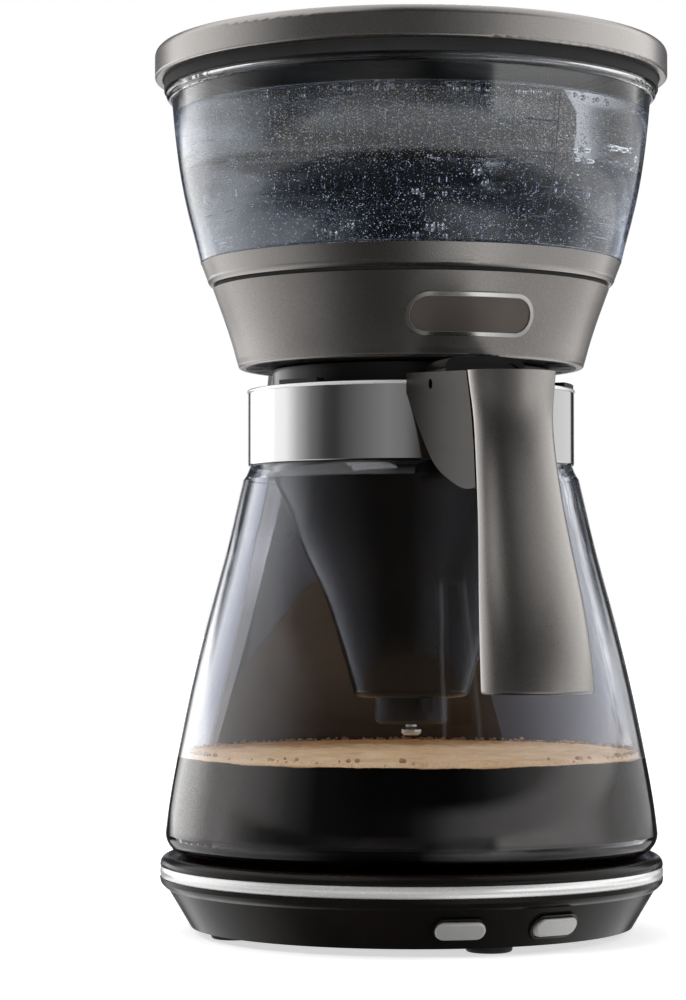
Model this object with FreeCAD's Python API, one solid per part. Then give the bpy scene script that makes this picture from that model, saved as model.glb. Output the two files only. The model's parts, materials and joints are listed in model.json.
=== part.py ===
import FreeCAD, Part
import math, os

V = FreeCAD.Vector
os.makedirs("parts", exist_ok=True)

# ---------------------------------------------------------------------------
# Driving dimensions, in mm. Radii are about the common axis of tank, head and
# jug, which stands at (0, AXIS_Y). Front is -Y, up is +Z, the table is z = 0.
# ---------------------------------------------------------------------------
HANDLE_REACH = 175.1          # axis to the front of the handle's lower end
COL_R_OUT = 124.0             # axis to the rear face of the column
AXIS_Y = (HANDLE_REACH - COL_R_OUT) / 2.0
WALL = 2.2                    # moulded wall

FOOT_H = 3.2
BASE_TOP = 33.4
TRIM_Z0, TRIM_Z1 = 24.1, 29.0
TRIM_R = 107.0
EXT_HW = 76.0                 # half width of the base's rear extension

PLATE_R = 81.5
PLATE_Z = 33.4

HEAD_Z0, HEAD_Z1 = 240.4, 274.4
RING_Z0, RING_Z1 = 276.0, 285.3
TANK_TOP = 363.6
RIM_R = 110.0
RIM_Z0, RIM_Z1 = 364.3, 377.5
LID_R = 98.9
LID_PIN_Y, LID_PIN_Z = 93.0, 372.4

TUBE_X, TUBE_Y = 14.1, 114.95  # the two water tubes in the column
TUBE_Z = 259.0                # their level through the head

GLASS_Z0 = 33.6
GLASS_T = 2.2
NECK_R = 68.9
BAND_R = 69.9
BAND_Z0, BAND_Z1 = 199.0, 229.5

HOLDER_R = 59.6
HOLDER_TOP = 239.4
HOLDER_FLOOR = 100.0

BUTTON_ANGLES = (-6.0, 17.9)  # degrees from the front, positive towards +X
BUTTON_Z = 11.0
BUTTON_A, BUTTON_B = 10.2, 3.7   # half width and half height of a button face
BEZEL_A, BEZEL_B = 11.4, 4.9

LEVER_PIN_R, LEVER_PIN_Z = 93.0, 227.6

SOLIDS = {}


# ---------------------------------------------------------------------------
# Helpers. Everything is built with the axis at the origin and moved at export.
# ---------------------------------------------------------------------------
def rz_edges(path):
    p0 = V(path[0][0], 0, path[0][1])
    cur = p0
    edges = []
    for seg in path[1:]:
        if seg[0] == "A":
            mid = V(seg[1], 0, seg[2])
            end = V(seg[3], 0, seg[4])
            edges.append(Part.Arc(cur, mid, end).toShape())
            cur = end
        elif seg[0] == "S":
            pts = [cur] + [V(r, 0, z) for r, z in seg[1]]
            c = Part.BSplineCurve()
            c.interpolate(pts)
            edges.append(c.toShape())
            cur = pts[-1]
        else:
            end = V(seg[0], 0, seg[1])
            if (end - cur).Length > 1e-6:
                edges.append(Part.makeLine(cur, end))
            cur = end
    if (cur - p0).Length > 1e-6:
        edges.append(Part.makeLine(cur, p0))
    return edges


def rev(path, a0=None, a1=None):
    face = Part.Face(Part.Wire(rz_edges(path)))
    if a0 is None:
        s = face.revolve(V(0, 0, 0), V(0, 0, 1), 360)
    else:
        face.rotate(V(0, 0, 0), V(0, 0, 1), a0 - 90.0)
        s = face.revolve(V(0, 0, 0), V(0, 0, 1), a1 - a0)
    s = Part.Solid(s) if s.ShapeType != "Solid" else s
    if s.Volume < 0:
        s.reverse()
    return s


def ring(r0, r1, z0, z1, a0=None, a1=None):
    return rev([(r0, z0), (r1, z0), (r1, z1), (r0, z1)], a0, a1)


def cyl(r, z0, z1, x=0.0, y=0.0):
    return Part.makeCylinder(r, z1 - z0, V(x, y, z0), V(0, 0, 1))


def cyl_y(r, y0, y1, x, z):
    return Part.makeCylinder(r, y1 - y0, V(x, y0, z), V(0, 1, 0))


def cyl_x(r, x0, x1, y, z):
    return Part.makeCylinder(r, x1 - x0, V(x0, y, z), V(1, 0, 0))


def box(x0, x1, y0, y1, z0, z1):
    return Part.makeBox(x1 - x0, y1 - y0, z1 - z0, V(x0, y0, z0))


def turn(s, ang):
    t = s.copy()
    t.rotate(V(0, 0, 0), V(0, 0, 1), ang)
    return t


def polar(r, ang, z=0.0):
    a = math.radians(ang)
    return V(r * math.sin(a), -r * math.cos(a), z)


def poly_prism_x(yz, x0, x1):
    """Polygon given in (r, z) on the front side (y = -r), extruded along X."""
    pts = [V(x0, -r, z) for r, z in yz]
    f = Part.Face(Part.makePolygon(pts + [pts[0]]))
    return f.extrude(V(x1 - x0, 0, 0))


def prism_z(xy, z0, z1):
    pts = [V(x, y, z0) for x, y in xy]
    f = Part.Face(Part.makePolygon(pts + [pts[0]]))
    return f.extrude(V(0, 0, z1 - z0))


def stadium_y(a, b, zc, y0, y1):
    """Stadium of half width a and half height b about (0, zc), along Y."""
    k = a - b
    e = [Part.makeLine(V(-k, y0, zc - b), V(k, y0, zc - b)),
         Part.Arc(V(k, y0, zc - b), V(a, y0, zc), V(k, y0, zc + b)).toShape(),
         Part.makeLine(V(k, y0, zc + b), V(-k, y0, zc + b)),
         Part.Arc(V(-k, y0, zc + b), V(-a, y0, zc), V(-k, y0, zc - b)).toShape()]
    return Part.Face(Part.Wire(e)).extrude(V(0, y1 - y0, 0))


def path_wire(pts, rad):
    n = len(pts)
    rads = rad if isinstance(rad, (list, tuple)) else [rad] * (n - 2)
    edges = []
    cur = pts[0]
    for i in range(1, n - 1):
        a = (pts[i] - pts[i - 1])
        a.normalize()
        b = (pts[i + 1] - pts[i])
        b.normalize()
        ang = a.getAngle(b)
        t = rads[i - 1] * math.tan(ang / 2.0)
        p1 = pts[i] - a * t
        p2 = pts[i] + b * t
        bis = (b - a)
        bis.normalize()
        c = pts[i] + bis * (rads[i - 1] / math.cos(ang / 2.0))
        m = c - bis * rads[i - 1]
        if (p1 - cur).Length > 1e-5:
            edges.append(Part.makeLine(cur, p1))
        edges.append(Part.Arc(p1, m, p2).toShape())
        cur = p2
    edges.append(Part.makeLine(cur, pts[-1]))
    return Part.Wire(edges)


def pipe(wire, ro, ri=None, start=None, direction=None):
    def one(r):
        c = Part.Wire([Part.makeCircle(r, start, direction)])
        s = wire.makePipeShell([c], True, False)
        s = Part.Solid(s) if s.ShapeType != "Solid" else s
        if s.Volume < 0:
            s.reverse()
        return s
    s = one(ro)
    return s.cut(one(ri)) if ri else s


def tube(pts, rad, ro, ri=None):
    w = path_wire(pts, rad)
    return pipe(w, ro, ri, pts[0], pts[1] - pts[0])


def fuse(items):
    s = items[0]
    if len(items) > 1:
        s = s.multiFuse(items[1:])
    try:
        s = s.removeSplitter()
    except Exception:
        pass
    return s


def fillet_where(s, r, test):
    es = [e for e in s.Edges if test(e)]
    if not es:
        return s
    try:
        t = s.makeFillet(r, es)
        if t.isValid() and t.Volume > 0:
            return t
    except Exception:
        pass
    return s


def put(name, shape):
    SOLIDS[name] = shape


# ---------------------------------------------------------------------------
# Base
# ---------------------------------------------------------------------------
cone_out = rev([(0, FOOT_H), (94.2, FOOT_H), (103.7, 19.2), ("A", 105.6, 20.5, 106.9, 22.2),
                (107.2, 24.0), (107.2, 24.05), (104.6, 24.05), (104.6, 29.0), (0, 29.0)])
cone_in = rev([(0, 0), (91.0, 0), (92.0, FOOT_H), (100.1, 17.4), (102.5, 21.8), (102.5, 40), (0, 40)])
ext_sector = box(-EXT_HW, EXT_HW, 30, 140, 0, 60)
ext_out = rev([(60, FOOT_H), (112.2, FOOT_H), (119.6, 17.0), ("A", 122.0, 18.6, 123.5, 20.9),
               (COL_R_OUT, 24.0), (COL_R_OUT, 29.0), (60, 29.0)]).common(ext_sector)
ext_in = rev([(50, 0), (108.6, 0), (109.8, FOOT_H), (117.2, 17.4), (119.4, 21.8), (121.8, 24.4), (121.8, 40),
              (50, 40)]).common(box(-EXT_HW + WALL, EXT_HW - WALL, 30, 140, 0, 60))
base_shell = cone_out.fuse(ext_out).cut(cone_in).cut(ext_in)

# seats for the button bezels
for a in BUTTON_ANGLES:
    base_shell = base_shell.cut(turn(stadium_y(BEZEL_A - 0.55, BEZEL_B - 0.55, BUTTON_Z, -120, -80), a))
# outlet for the mains lead, low at the rear
GLAND_X, GLAND_Z = -44.0, 13.0
base_shell = base_shell.cut(cyl_y(6.3, 90, 130, GLAND_X, GLAND_Z))
put("base_shell", base_shell)

top_disc = rev([(83.6, 31.0), (101.6, 31.0), (101.6, 29.1), (107.0, 29.1), ("A", 106.3, 31.9, 103.6, BASE_TOP),
                (102.9, BASE_TOP), (102.2, 33.0), (83.6, 33.0)])
top_ext = rev([(98.0, 29.1), (COL_R_OUT, 29.1), (COL_R_OUT, BASE_TOP), (98.0, BASE_TOP)]).common(ext_sector)
top_ext = top_ext.cut(cyl(103.2, 0, 60))
top_ext_in = rev([(98.0, 20), (121.8, 20), (121.8, 31.2), (98.0, 31.2)]).common(
    box(-EXT_HW + WALL, EXT_HW - WALL, 30, 140, 0, 60))
top = top_disc.fuse(top_ext).cut(top_ext_in)
posts = []
POST_R, POST_ANG = 87.3, (48.0, 132.0, 228.0, 312.0)
for a in POST_ANG:
    p = polar(POST_R, a)
    posts.append(cyl(3.6, 5.6, 31.4, p.x, p.y))
top = top.multiFuse(posts)
for a in POST_ANG:
    p = polar(POST_R, a)
    top = top.cut(cyl(1.4, 4, 18, p.x, p.y))
# way up into the column
top = top.cut(ring(109.2, 121.75, 20, 50).common(box(-34, 34, 60, 140, 0, 60)))
put("base_top_cover", top)

trim = rev([(104.75, TRIM_Z0 + 0.05), (106.6, TRIM_Z0 + 0.05), ("A", TRIM_R + 0.15, 26.6, 106.6, TRIM_Z1), (104.75, TRIM_Z1)])
trim = trim.cut(ring(60, 140, 0, 60).common(box(-EXT_HW - 0.3, EXT_HW + 0.3, 20, 140, 0, 60)))
put("base_trim_ring", trim)

bottom = cyl(91.7, FOOT_H, 5.4).fuse(cyl(109.4, FOOT_H, 5.4).common(
    box(-EXT_HW + WALL + 0.3, EXT_HW - WALL - 0.3, 20, 140, 0, 60)))
bottom = bottom.removeSplitter()
for a in POST_ANG:
    p = polar(POST_R, a)
    bottom = bottom.cut(cyl(1.9, 0, 10, p.x, p.y)).cut(cyl(3.3, 0, 4.2, p.x, p.y))
FOOT_R, FOOT_ANG = 79.5, (6.1, 94.0, 184.0, 274.0)
for a in FOOT_ANG:
    p = polar(FOOT_R, a)
    bottom = bottom.cut(cyl(2.6, 0, 10, p.x, p.y))
for i in range(-3, 4):
    bottom = bottom.cut(box(i * 9 - 1.5, i * 9 + 1.5, -26, 26, 0, 10))
# standoffs for the control board
BOARD_ANG = (BUTTON_ANGLES[0] + BUTTON_ANGLES[1]) / 2.0
for u, v in ((-26, 64), (26, 64), (-26, 80), (26, 80)):
    bottom = bottom.fuse(turn(cyl(2.6, 4.6, 7.0, u, -v), BOARD_ANG))
put("base_bottom_plate", bottom)

feet = []
for a in FOOT_ANG:
    p = polar(FOOT_R, a)
    f = rev([(0, 0), (8.2, 0), ("A", 9.1, 0.4, 9.5, 1.3), (9.5, FOOT_H - 0.02), (2.45, FOOT_H - 0.02), (2.45, 5.6), (0, 5.6)])
    f.translate(p)
    feet.append(f)
put("rubber_feet", Part.makeCompound(feet))


def screw(head_r, head_h, shank_r, length):
    """Screw pointing up: head's outer face at z = 0, cross recess in it."""
    s = rev([(0, 0), (head_r - 0.4, 0), (head_r, 0.4), (head_r, head_h), (shank_r, head_h), (shank_r, length - 0.8),
             (shank_r * 0.4, length), (0, length)])
    c = box(-head_r * 0.6, head_r * 0.6, -0.35, 0.35, -1, head_h * 0.6).fuse(
        box(-0.35, 0.35, -head_r * 0.6, head_r * 0.6, -1, head_h * 0.6))
    return s.cut(c)


scr = []
for a in POST_ANG:
    p = polar(POST_R, a)
    s = screw(3.1, 1.0, 1.35, 13.5)
    s.translate(V(p.x, p.y, FOOT_H))
    scr.append(s)
put("bottom_screws", Part.makeCompound(scr))

plate = rev([(0, 32.2), (60, 32.2), (79.9, 31.9), (79.9, 31.3), (PLATE_R, 31.3), (PLATE_R, 32.9),
             ("A", PLATE_R - 0.2, 33.3, PLATE_R - 0.7, PLATE_Z), (0, PLATE_Z)])
put("hot_plate", plate)
put("hot_plate_seal", ring(PLATE_R + 0.05, 83.55, 31.4, 33.0))

# boiler: horseshoe casting with the heater and the water way bent round it
BOIL_A = 140.0
HEAT_R, WATER_R, BOIL_Z = 48.4, 59.4, 24.0


def arc_bar(rc, stub):
    a = math.radians(BOIL_A)
    p0, p1 = polar(rc, -BOIL_A, BOIL_Z), polar(rc, BOIL_A, BOIL_Z)
    d1 = V(math.cos(a), math.sin(a), 0)
    d0 = V(-math.cos(-a), -math.sin(-a), 0)
    s0, s1 = p0 + d0 * stub, p1 + d1 * stub
    w = Part.Wire([Part.makeLine(s0, p0), Part.Arc(p0, polar(rc, 0, BOIL_Z), p1).toShape(), Part.makeLine(p1, s1)])
    return w, s0, s1, d0, d1


block = rev([(43.2, 18.6), (64.6, 18.6), (64.6, 30.6), (62, 32.1), (45.8, 32.1), (43.2, 30.6)], -BOIL_A, BOIL_A)
w, s0, s1, d0, d1 = arc_bar(HEAT_R, 12.0)
block = block.cut(pipe(w, 4.15, None, s0, d0))
heater = pipe(w, 4.1, None, s0, d0)
pins = [Part.makeCylinder(1.3, 9.0, s0 + d0 * -1.0, d0), Part.makeCylinder(1.3, 9.0, s1 + d1 * -1.0, d1)]
put("heating_element", heater.multiFuse(pins))
w, s0, s1, d0, d1 = arc_bar(WATER_R, 15.0)
WATER_S0, WATER_S1, WATER_D0, WATER_D1 = s0, s1, d0, d1
block = block.cut(pipe(w, 4.55, None, s0, d0))
put("boiler_tube", pipe(w, 4.5, 3.4, s0, d0))
put("boiler_block", block)

p = polar(54.0, 62.0)
thermo = cyl(9.2, 13.2, 18.5, p.x, p.y).fuse(cyl(6.0, 9.4, 13.4, p.x, p.y)).fuse(
    box(p.x - 7.5, p.x - 4.5, p.y - 0.5, p.y + 0.5, 6.6, 13)).fuse(box(p.x + 4.5, p.x + 7.5, p.y - 0.5, p.y + 0.5, 6.6, 13))
put("thermostat", thermo)
fz = []
for k in (-70.0, -92.0):
    p = polar(54.0, k, 16.0)
    fz.append(turn(Part.makeCylinder(2.1, 12.0, V(48, 0, 16.2), V(1, 0, 0)), k - 90.0))
put("thermal_fuses", Part.makeCompound(fz))

board = turn(box(-31, 31, -86, -58, 7.0, 8.6), BOARD_ANG)
for u, v in ((-26, 64), (26, 64), (-26, 80), (26, 80)):
    board = board.cut(turn(cyl(1.2, 0, 20, u, -v), BOARD_ANG))
relay = turn(box(-12, 6, -76, -60, 8.6, 18.0), BOARD_ANG)
cap = turn(cyl(4.0, 8.6, 17.0, 15, -68), BOARD_ANG)
put("control_board", board.multiFuse([relay, cap]))
sw = []
for a in BUTTON_ANGLES:
    s = box(-3.6, 3.6, -90.0, -84.4, 8.62, 13.8).fuse(cyl_y(1.5, -91.3, -89.0, 0, BUTTON_Z))
    sw.append(turn(s, a))
put("board_switches", Part.makeCompound(sw))


def cone_offset(d):
    """Solid inside the base's sloping wall, grown by d, for the bezels and buttons."""
    n = 0.5135
    return rev([(0, -10), (94.2 + (-10 - FOOT_H) * 0.594 + d, -10), (94.2 + (30 - FOOT_H) * 0.594 + d, 30), (0, 30)])


bz, btn = [], []
for i, a in enumerate(BUTTON_ANGLES):
    outer = stadium_y(BEZEL_A, BEZEL_B, BUTTON_Z, -120, -80).common(cone_offset(1.3)).cut(cone_offset(0.05))
    sleeve = stadium_y(BEZEL_A - 0.6, BEZEL_B - 0.6, BUTTON_Z, -120, -80).common(cone_offset(0.4)).cut(cone_offset(-3.6))
    z = outer.fuse(sleeve).cut(stadium_y(BUTTON_A + 0.35, BUTTON_B + 0.35, BUTTON_Z, -120, -80))
    bz.append(turn(z, a))
    cap = stadium_y(BUTTON_A, BUTTON_B, BUTTON_Z, -120, -80).common(cone_offset(3.2)).cut(cone_offset(-3.4))
    cap = fillet_where(cap, 0.9, lambda e: e.BoundBox.YMax < -94.5 and e.Length > 3 and
                       all(abs(math.hypot(v.X, v.Y) - (94.2 + (v.Z - FOOT_H) * 0.594 + 3.2)) < 0.05 for v in e.Vertexes))
    stem = stadium_y(2.6, 2.0, BUTTON_Z, -99.0, -93.4)
    btn.append(turn(cap.fuse(stem), a))
put("button_bezels", Part.makeCompound(bz))
put("power_button", btn[0])
put("mode_button", btn[1])

# mains side at the rear
gl = cyl_y(8.2, 113.2, 115.2, GLAND_X, GLAND_Z).fuse(cyl_y(6.1, 100.0, 113.4, GLAND_X, GLAND_Z)).fuse(
    cyl_y(5.0, 115.0, 118.5, GLAND_X, GLAND_Z)).cut(cyl_y(3.3, 90, 130, GLAND_X, GLAND_Z))
gl = gl.cut(cone_out.fuse(ext_out).cut(cone_in).cut(ext_in).cut(cyl_y(6.3, 90, 130, GLAND_X, GLAND_Z)))
put("cord_gland", Part.makeCompound([max(gl.Solids, key=lambda q: q.Volume)]))
tb = box(-56, -34, 78, 90, 5.5, 16.0)
for x in (-51, -45, -39):
    tb = tb.cut(cyl(1.8, 12.0, 20, x, 84)).cut(cyl_y(1.3, 70, 100, x, 9.0))
put("terminal_block", tb)
wires = [tube([V(-51, 77.5, 9), V(-51, 70, 9), V(-66, 40, 9), V(-66, -10, 9), V(-40, -56, 9.9), V(-33, -62, 9.9)], 7.0, 0.95),
         tube([V(-45, 77.5, 9), V(-45, 66, 9), V(-36, 58, 12), V(-36, 48, 15)], 4.0, 0.95),
         tube([V(-39, 77.5, 9), V(-39, 70, 9), V(0, 66, 9), V(40, 50, 9), V(44, 20, 9), V(44, -4, 9)], 7.0, 0.95)]
put("wiring_harness", Part.makeCompound(wires))

# hoses: each runs from a boiler stub to the foot of its tube in the column
VALVE_Z0, VALVE_Z1 = 30.0, 46.0


def hose(s, d, sx, ztop):
    p1 = s + d * ((abs(s.x) - TUBE_X) / abs(d.x))
    return tube([s - d * 9.0, p1, V(sx * TUBE_X, TUBE_Y, BOIL_Z - 6), V(sx * TUBE_X, TUBE_Y, ztop)],
                [10.0, 11.0], 5.6, 4.6)


put("inlet_hose", hose(WATER_S1, WATER_D1, 1, VALVE_Z0 + 7.0))
put("outlet_hose", hose(WATER_S0, WATER_D0, -1, 44.0))
clamps = []
for s, d in ((WATER_S0, WATER_D0), (WATER_S1, WATER_D1)):
    c = Part.makeCylinder(6.15, 4.0, s - d * 6.0, d).cut(Part.makeCylinder(5.64, 6.0, s - d * 7.0, d))
    clamps.append(c)
for sx, z in ((-1, 36.0),):
    clamps.append(ring(5.64, 5.82, z, z + 4.0).translated(V(sx * TUBE_X, TUBE_Y, 0)))
put("hose_clamps", Part.makeCompound(clamps))

# check valve in the feed line: seat above, cage below, ball between
vb = rev([(3.0, 29.6), (4.5, 29.6), (4.5, 38.0), (5.6, 38.6), (5.6, 52.0), (4.55, 52.0), (4.55, 49.0), (2.2, 47.6), (3.4, 45.2), (4.6, 44.6),
          (4.6, 39.6), (3.0, 38.6)])
vb = vb.translated(V(TUBE_X, TUBE_Y, 0))
cage = box(-4.0, 4.0, -0.6, 0.6, 37.2, 38.4).fuse(box(-0.6, 0.6, -4.0, 4.0, 37.2, 38.4)).translated(V(TUBE_X, TUBE_Y, 0))
vb = vb.fuse(cage)
put("check_valve_body", vb)
BALL_R = 2.9
put("check_valve_ball", Part.makeSphere(BALL_R, V(TUBE_X, TUBE_Y, 38.5 + BALL_R)))

# ---------------------------------------------------------------------------
# Rear column: wide at the foot, narrow at the waist, hollow
# ---------------------------------------------------------------------------
HEAD_PROFILE = [(74.8, 244.0), (77.3, 252.8), (81.7, 265.7), (84.9, HEAD_Z1)]
COL_Z0, COL_Z1 = BASE_TOP + 0.1, 374.0
PANEL_HW, PANEL_Z0, PANEL_Z1, PANEL_RC = 64.0, 279.0, 361.5, 13.0


def col_profile(t, z0, z1):
    inner = [(107.6 + t, z0), ("S", [(107.7 + t, 48.0), (107.0 + t, 62.0), (104.4 + t, 80.0), (99.6 + t, 102.6), (90.4 + t, 141.2),
                                     (82.4 + t, 171.3), (77.6 + t, 192.7), (76.2 + t, 205.0), (76.0 + t, 220.0), (75.9 + t, 236.0)]),
             (75.2 + t, 244.0), (77.7 + t, 252.8), (82.1 + t, 265.7), (85.3 + t, 274.4), (86.8 + t, 276.0), (90.9 + t, 285.4),
             (91.9 + t, 290.0), (95.6 + t, 304.0), (97.8 + t, 313.0), (101.3 + t, 334.0), (103.5 + t, 355.6),
             (106.2 + t, 356.2), (106.2 + t, 363.3), (110.6 + t, 363.4)]
    if t > 0:
        return inner + [(110.6 + t, z1), (COL_R_OUT - t, z1), (COL_R_OUT - t, z0)]
    return inner + [(110.6, z1 - 1.0), (111.6, z1), (COL_R_OUT - 6.0, z1), ("A", COL_R_OUT - 1.8, z1 - 1.8, COL_R_OUT, z1 - 6.0),
                    (COL_R_OUT, z0)]


def col_outline(t, z0, z1):
    hw = [(76.0, z0), (75.0, 50.0), (71.0, 70.0), (66.0, 88.0), (57.5, 118.0), (49.8, 152.0), (42.5, 186.0), (36.5, 214.0),
          (33.0, 240.0), (30.0, 275.0), (28.0, 320.0), (26.0, z1)]
    c1, c2 = Part.BSplineCurve(), Part.BSplineCurve()
    c1.interpolate([V(h - t, 20, z) for h, z in hw])
    c2.interpolate([V(-(h - t), 20, z) for h, z in reversed(hw)])
    e = [c1.toShape(), Part.makeLine(V(26.0 - t, 20, z1), V(-(26.0 - t), 20, z1)), c2.toShape(),
         Part.makeLine(V(-(76.0 - t), 20, z0), V(76.0 - t, 20, z0))]
    s = Part.Face(Part.Wire(e)).extrude(V(0, 120, 0))
    # broad back panel behind the tank, its corners rounded
    h, lo, hi, r = PANEL_HW - t, PANEL_Z0 + t, PANEL_Z1 - t, PANEL_RC - t
    k = r * (1.0 - math.sqrt(0.5))
    w = [Part.makeLine(V(-h + r, 20, lo), V(h - r, 20, lo)), Part.Arc(V(h - r, 20, lo), V(h - k, 20, lo + k), V(h, 20, lo + r)).toShape(),
         Part.makeLine(V(h, 20, lo + r), V(h, 20, hi - r)), Part.Arc(V(h, 20, hi - r), V(h - k, 20, hi - k), V(h - r, 20, hi)).toShape(),
         Part.makeLine(V(h - r, 20, hi), V(-h + r, 20, hi)), Part.Arc(V(-h + r, 20, hi), V(-h + k, 20, hi - k), V(-h, 20, hi - r)).toShape(),
         Part.makeLine(V(-h, 20, hi - r), V(-h, 20, lo + r)), Part.Arc(V(-h, 20, lo + r), V(-h + k, 20, lo + k), V(-h + r, 20, lo)).toShape()]
    return s.fuse(Part.Face(Part.Wire(w)).extrude(V(0, 120, 0))).removeSplitter()


col_out = rev(col_profile(0, COL_Z0, COL_Z1)).common(col_outline(0, COL_Z0, COL_Z1))
col_in = rev(col_profile(WALL, COL_Z0 - 4.0, COL_Z1 - WALL)).common(col_outline(WALL, COL_Z0 - 4.0, COL_Z1 - WALL))
shell = col_out.cut(col_in)
SPLIT_R = 117.6
front = shell.common(cyl(SPLIT_R, 0, 400))
rear = shell.cut(cyl(SPLIT_R + 0.25, 0, 400))
bosses, bores, heads = [], [], []
COL_SCREW_Z = (58.0, 132.0, 212.0, 326.0)
for z in COL_SCREW_Z:
    b = cyl_y(4.2, 70, 119.0, 0, z).common(cyl(SPLIT_R + 3.6, 0, 400))
    b = b.common(rev(col_profile(0.8, COL_Z0 - 4.0, COL_Z1 - 1)))
    front = front.fuse(b)
    front = front.cut(cyl_y(1.35, 104.0, 130, 0, z))
    rear = rear.cut(cyl_y(1.8, 100, 140, 0, z)).cut(cyl_y(3.4, COL_R_OUT - 1.2, 140, 0, z))
for sx in (-1, 1):
    front = front.cut(cyl_y(5.2, 60, 100, sx * TUBE_X, TUBE_Z))
put("column_front_cover", front)
put("column_rear_cover", rear)
cs = []
for z in COL_SCREW_Z:
    s = screw(3.1, 1.1, 1.3, 13.0)
    s.rotate(V(0, 0, 0), V(1, 0, 0), 90)
    s.translate(V(0, COL_R_OUT - 0.1, z))
    cs.append(s)
put("column_screws", Part.makeCompound(cs))

put("feed_tube", tube([V(TUBE_X, 62, 273.5), V(TUBE_X, 62, TUBE_Z), V(TUBE_X, TUBE_Y, TUBE_Z), V(TUBE_X, TUBE_Y, 49.2)],
                      [10.0, 10.0], 4.45, 3.2))
put("riser_tube", tube([V(-TUBE_X, TUBE_Y, 30.0), V(-TUBE_X, TUBE_Y, TUBE_Z), V(-TUBE_X, 16, TUBE_Z), V(0, 0, TUBE_Z), V(0, 0, 248.6)],
                       [10.0, 10.0, 8.5], 4.45, 3.2))

# ---------------------------------------------------------------------------
# Head
# ---------------------------------------------------------------------------
head = rev([(72.7, HEAD_Z0), ("A", 73.7, 240.8, 74.1, 241.7), HEAD_PROFILE[0], ("S", HEAD_PROFILE[1:]), (60.0, HEAD_Z1), (60.0, 272.2), (81.6, 272.2),
            ("S", [(79.3, 265.0), (75.0, 252.6), (72.6, 244.4)]), (70.9, 241.6), (70.9, HEAD_Z0)])
head = head.fuse(cyl(60.5, 272.2, HEAD_Z1))
for sx in (-1, 1):
    head = head.cut(cyl_y(5.2, 60, 100, sx * TUBE_X, TUBE_Z))
head = head.cut(cyl(7.4, 265, 280, TUBE_X, 62))
put("head_shell", head)

under = rev([(70.7, HEAD_Z0 + 0.1), (70.7, 243.0), (36.5, 243.0), (33.2, 253.6), (7.5, 253.6), (7.5, 251.6), (31.2, 251.6),
             (34.4, HEAD_Z0 + 0.1)])
for k in range(24):
    under = under.cut(turn(box(-1.6, 1.6, -69.0, -63.5, HEAD_Z0 - 1, 242.0), k * 15.0))
put("head_underside", under)

spray = rev([(0, 243.4), (29.0, 243.4), (30.4, 244.6), (30.4, 249.4), (29.0, 249.4), (29.0, 245.4), (7.0, 245.4), (7.0, 251.4), (4.6, 251.4),
             (4.6, 248.4), (2.4, 247.6), (2.4, 245.4), (0, 245.4)])
for k in range(12):
    spray = spray.cut(turn(cyl(1.5, 240, 248, 0, -22.0), k * 30.0))
for k in range(6):
    spray = spray.cut(turn(cyl(1.5, 240, 248, 0, -13.0), k * 60.0))
put("spray_head", spray)

spout = rev([(4.55, 268.2), (7.0, 268.2), (7.0, 275.9), (4.0, 275.9), (4.0, 280.4), (3.0, 280.4), (3.0, 274.0), (4.55, 273.6)])
spout = spout.translated(V(TUBE_X, 62, 0))
put("outlet_spout", spout)


def head_offset(d):
    return rev([(0, 236.0), (71.8 + d, 236.0), (74.8 + d, 244.0), ("S", [(r + d, z) for r, z in HEAD_PROFILE[1:]]), (0, HEAD_Z1)])


BADGE_Z, BADGE_ANG = 257.2, 1.5
bd = stadium_y(27.6, 8.6, BADGE_Z, -120, -40).common(head_offset(1.25)).cut(head_offset(0.06))
rim = bd.cut(stadium_y(26.0, 7.0, BADGE_Z, -120, -40))
face = stadium_y(26.1, 7.1, BADGE_Z, -120, -40).common(head_offset(0.75)).cut(head_offset(0.06))
put("badge_plate", turn(rim.fuse(face), BADGE_ANG))

# ---------------------------------------------------------------------------
# Tank, rim ring and lid
# ---------------------------------------------------------------------------
put("tank_seal", ring(74.0, 84.1, HEAD_Z1 + 0.02, RING_Z0 - 0.05).cut(cyl(7.4, 270, 280, TUBE_X, 62)))
put("tank_base_ring", rev([(82.5, RING_Z0), (86.0, RING_Z0), ("A", 86.9, 277.0, 87.4, 278.5), (90.0, RING_Z1), (87.5, RING_Z1),
                           (84.9, 279.0), (82.5, 277.2), (82.5, 276.4)]))
tank = rev([(0, 276.1), (81.9, 276.1), (82.0, 277.0), (84.4, 279.2), (87.1, 285.4), (90.2, 285.45),
            ("S", [(91.5, 291.0), (94.9, 304.0), (97.0, 313.0), (100.5, 334.0), (102.7, 355.6)]),
            ("A", 104.5, 356.2, 105.2, 357.8), (105.2, TANK_TOP), (102.7, TANK_TOP), (102.7, 358.6), (100.3, 355.9),
            ("S", [(98.0, 334.0), (94.5, 313.0), (92.4, 304.0), (89.0, 291.6), (87.4, 286.6)]), (84.6, 285.0), (82.6, 280.2), (80.8, 278.6), (0, 278.6)])
tank = tank.cut(cyl(4.1, 270, 290, TUBE_X, 62))
put("tank_body", tank)
put("collar_gasket", ring(101.2, 106.6, TANK_TOP + 0.05, 365.5).fuse(ring(105.35, 106.05, 359.4, TANK_TOP + 0.4)))

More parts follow.
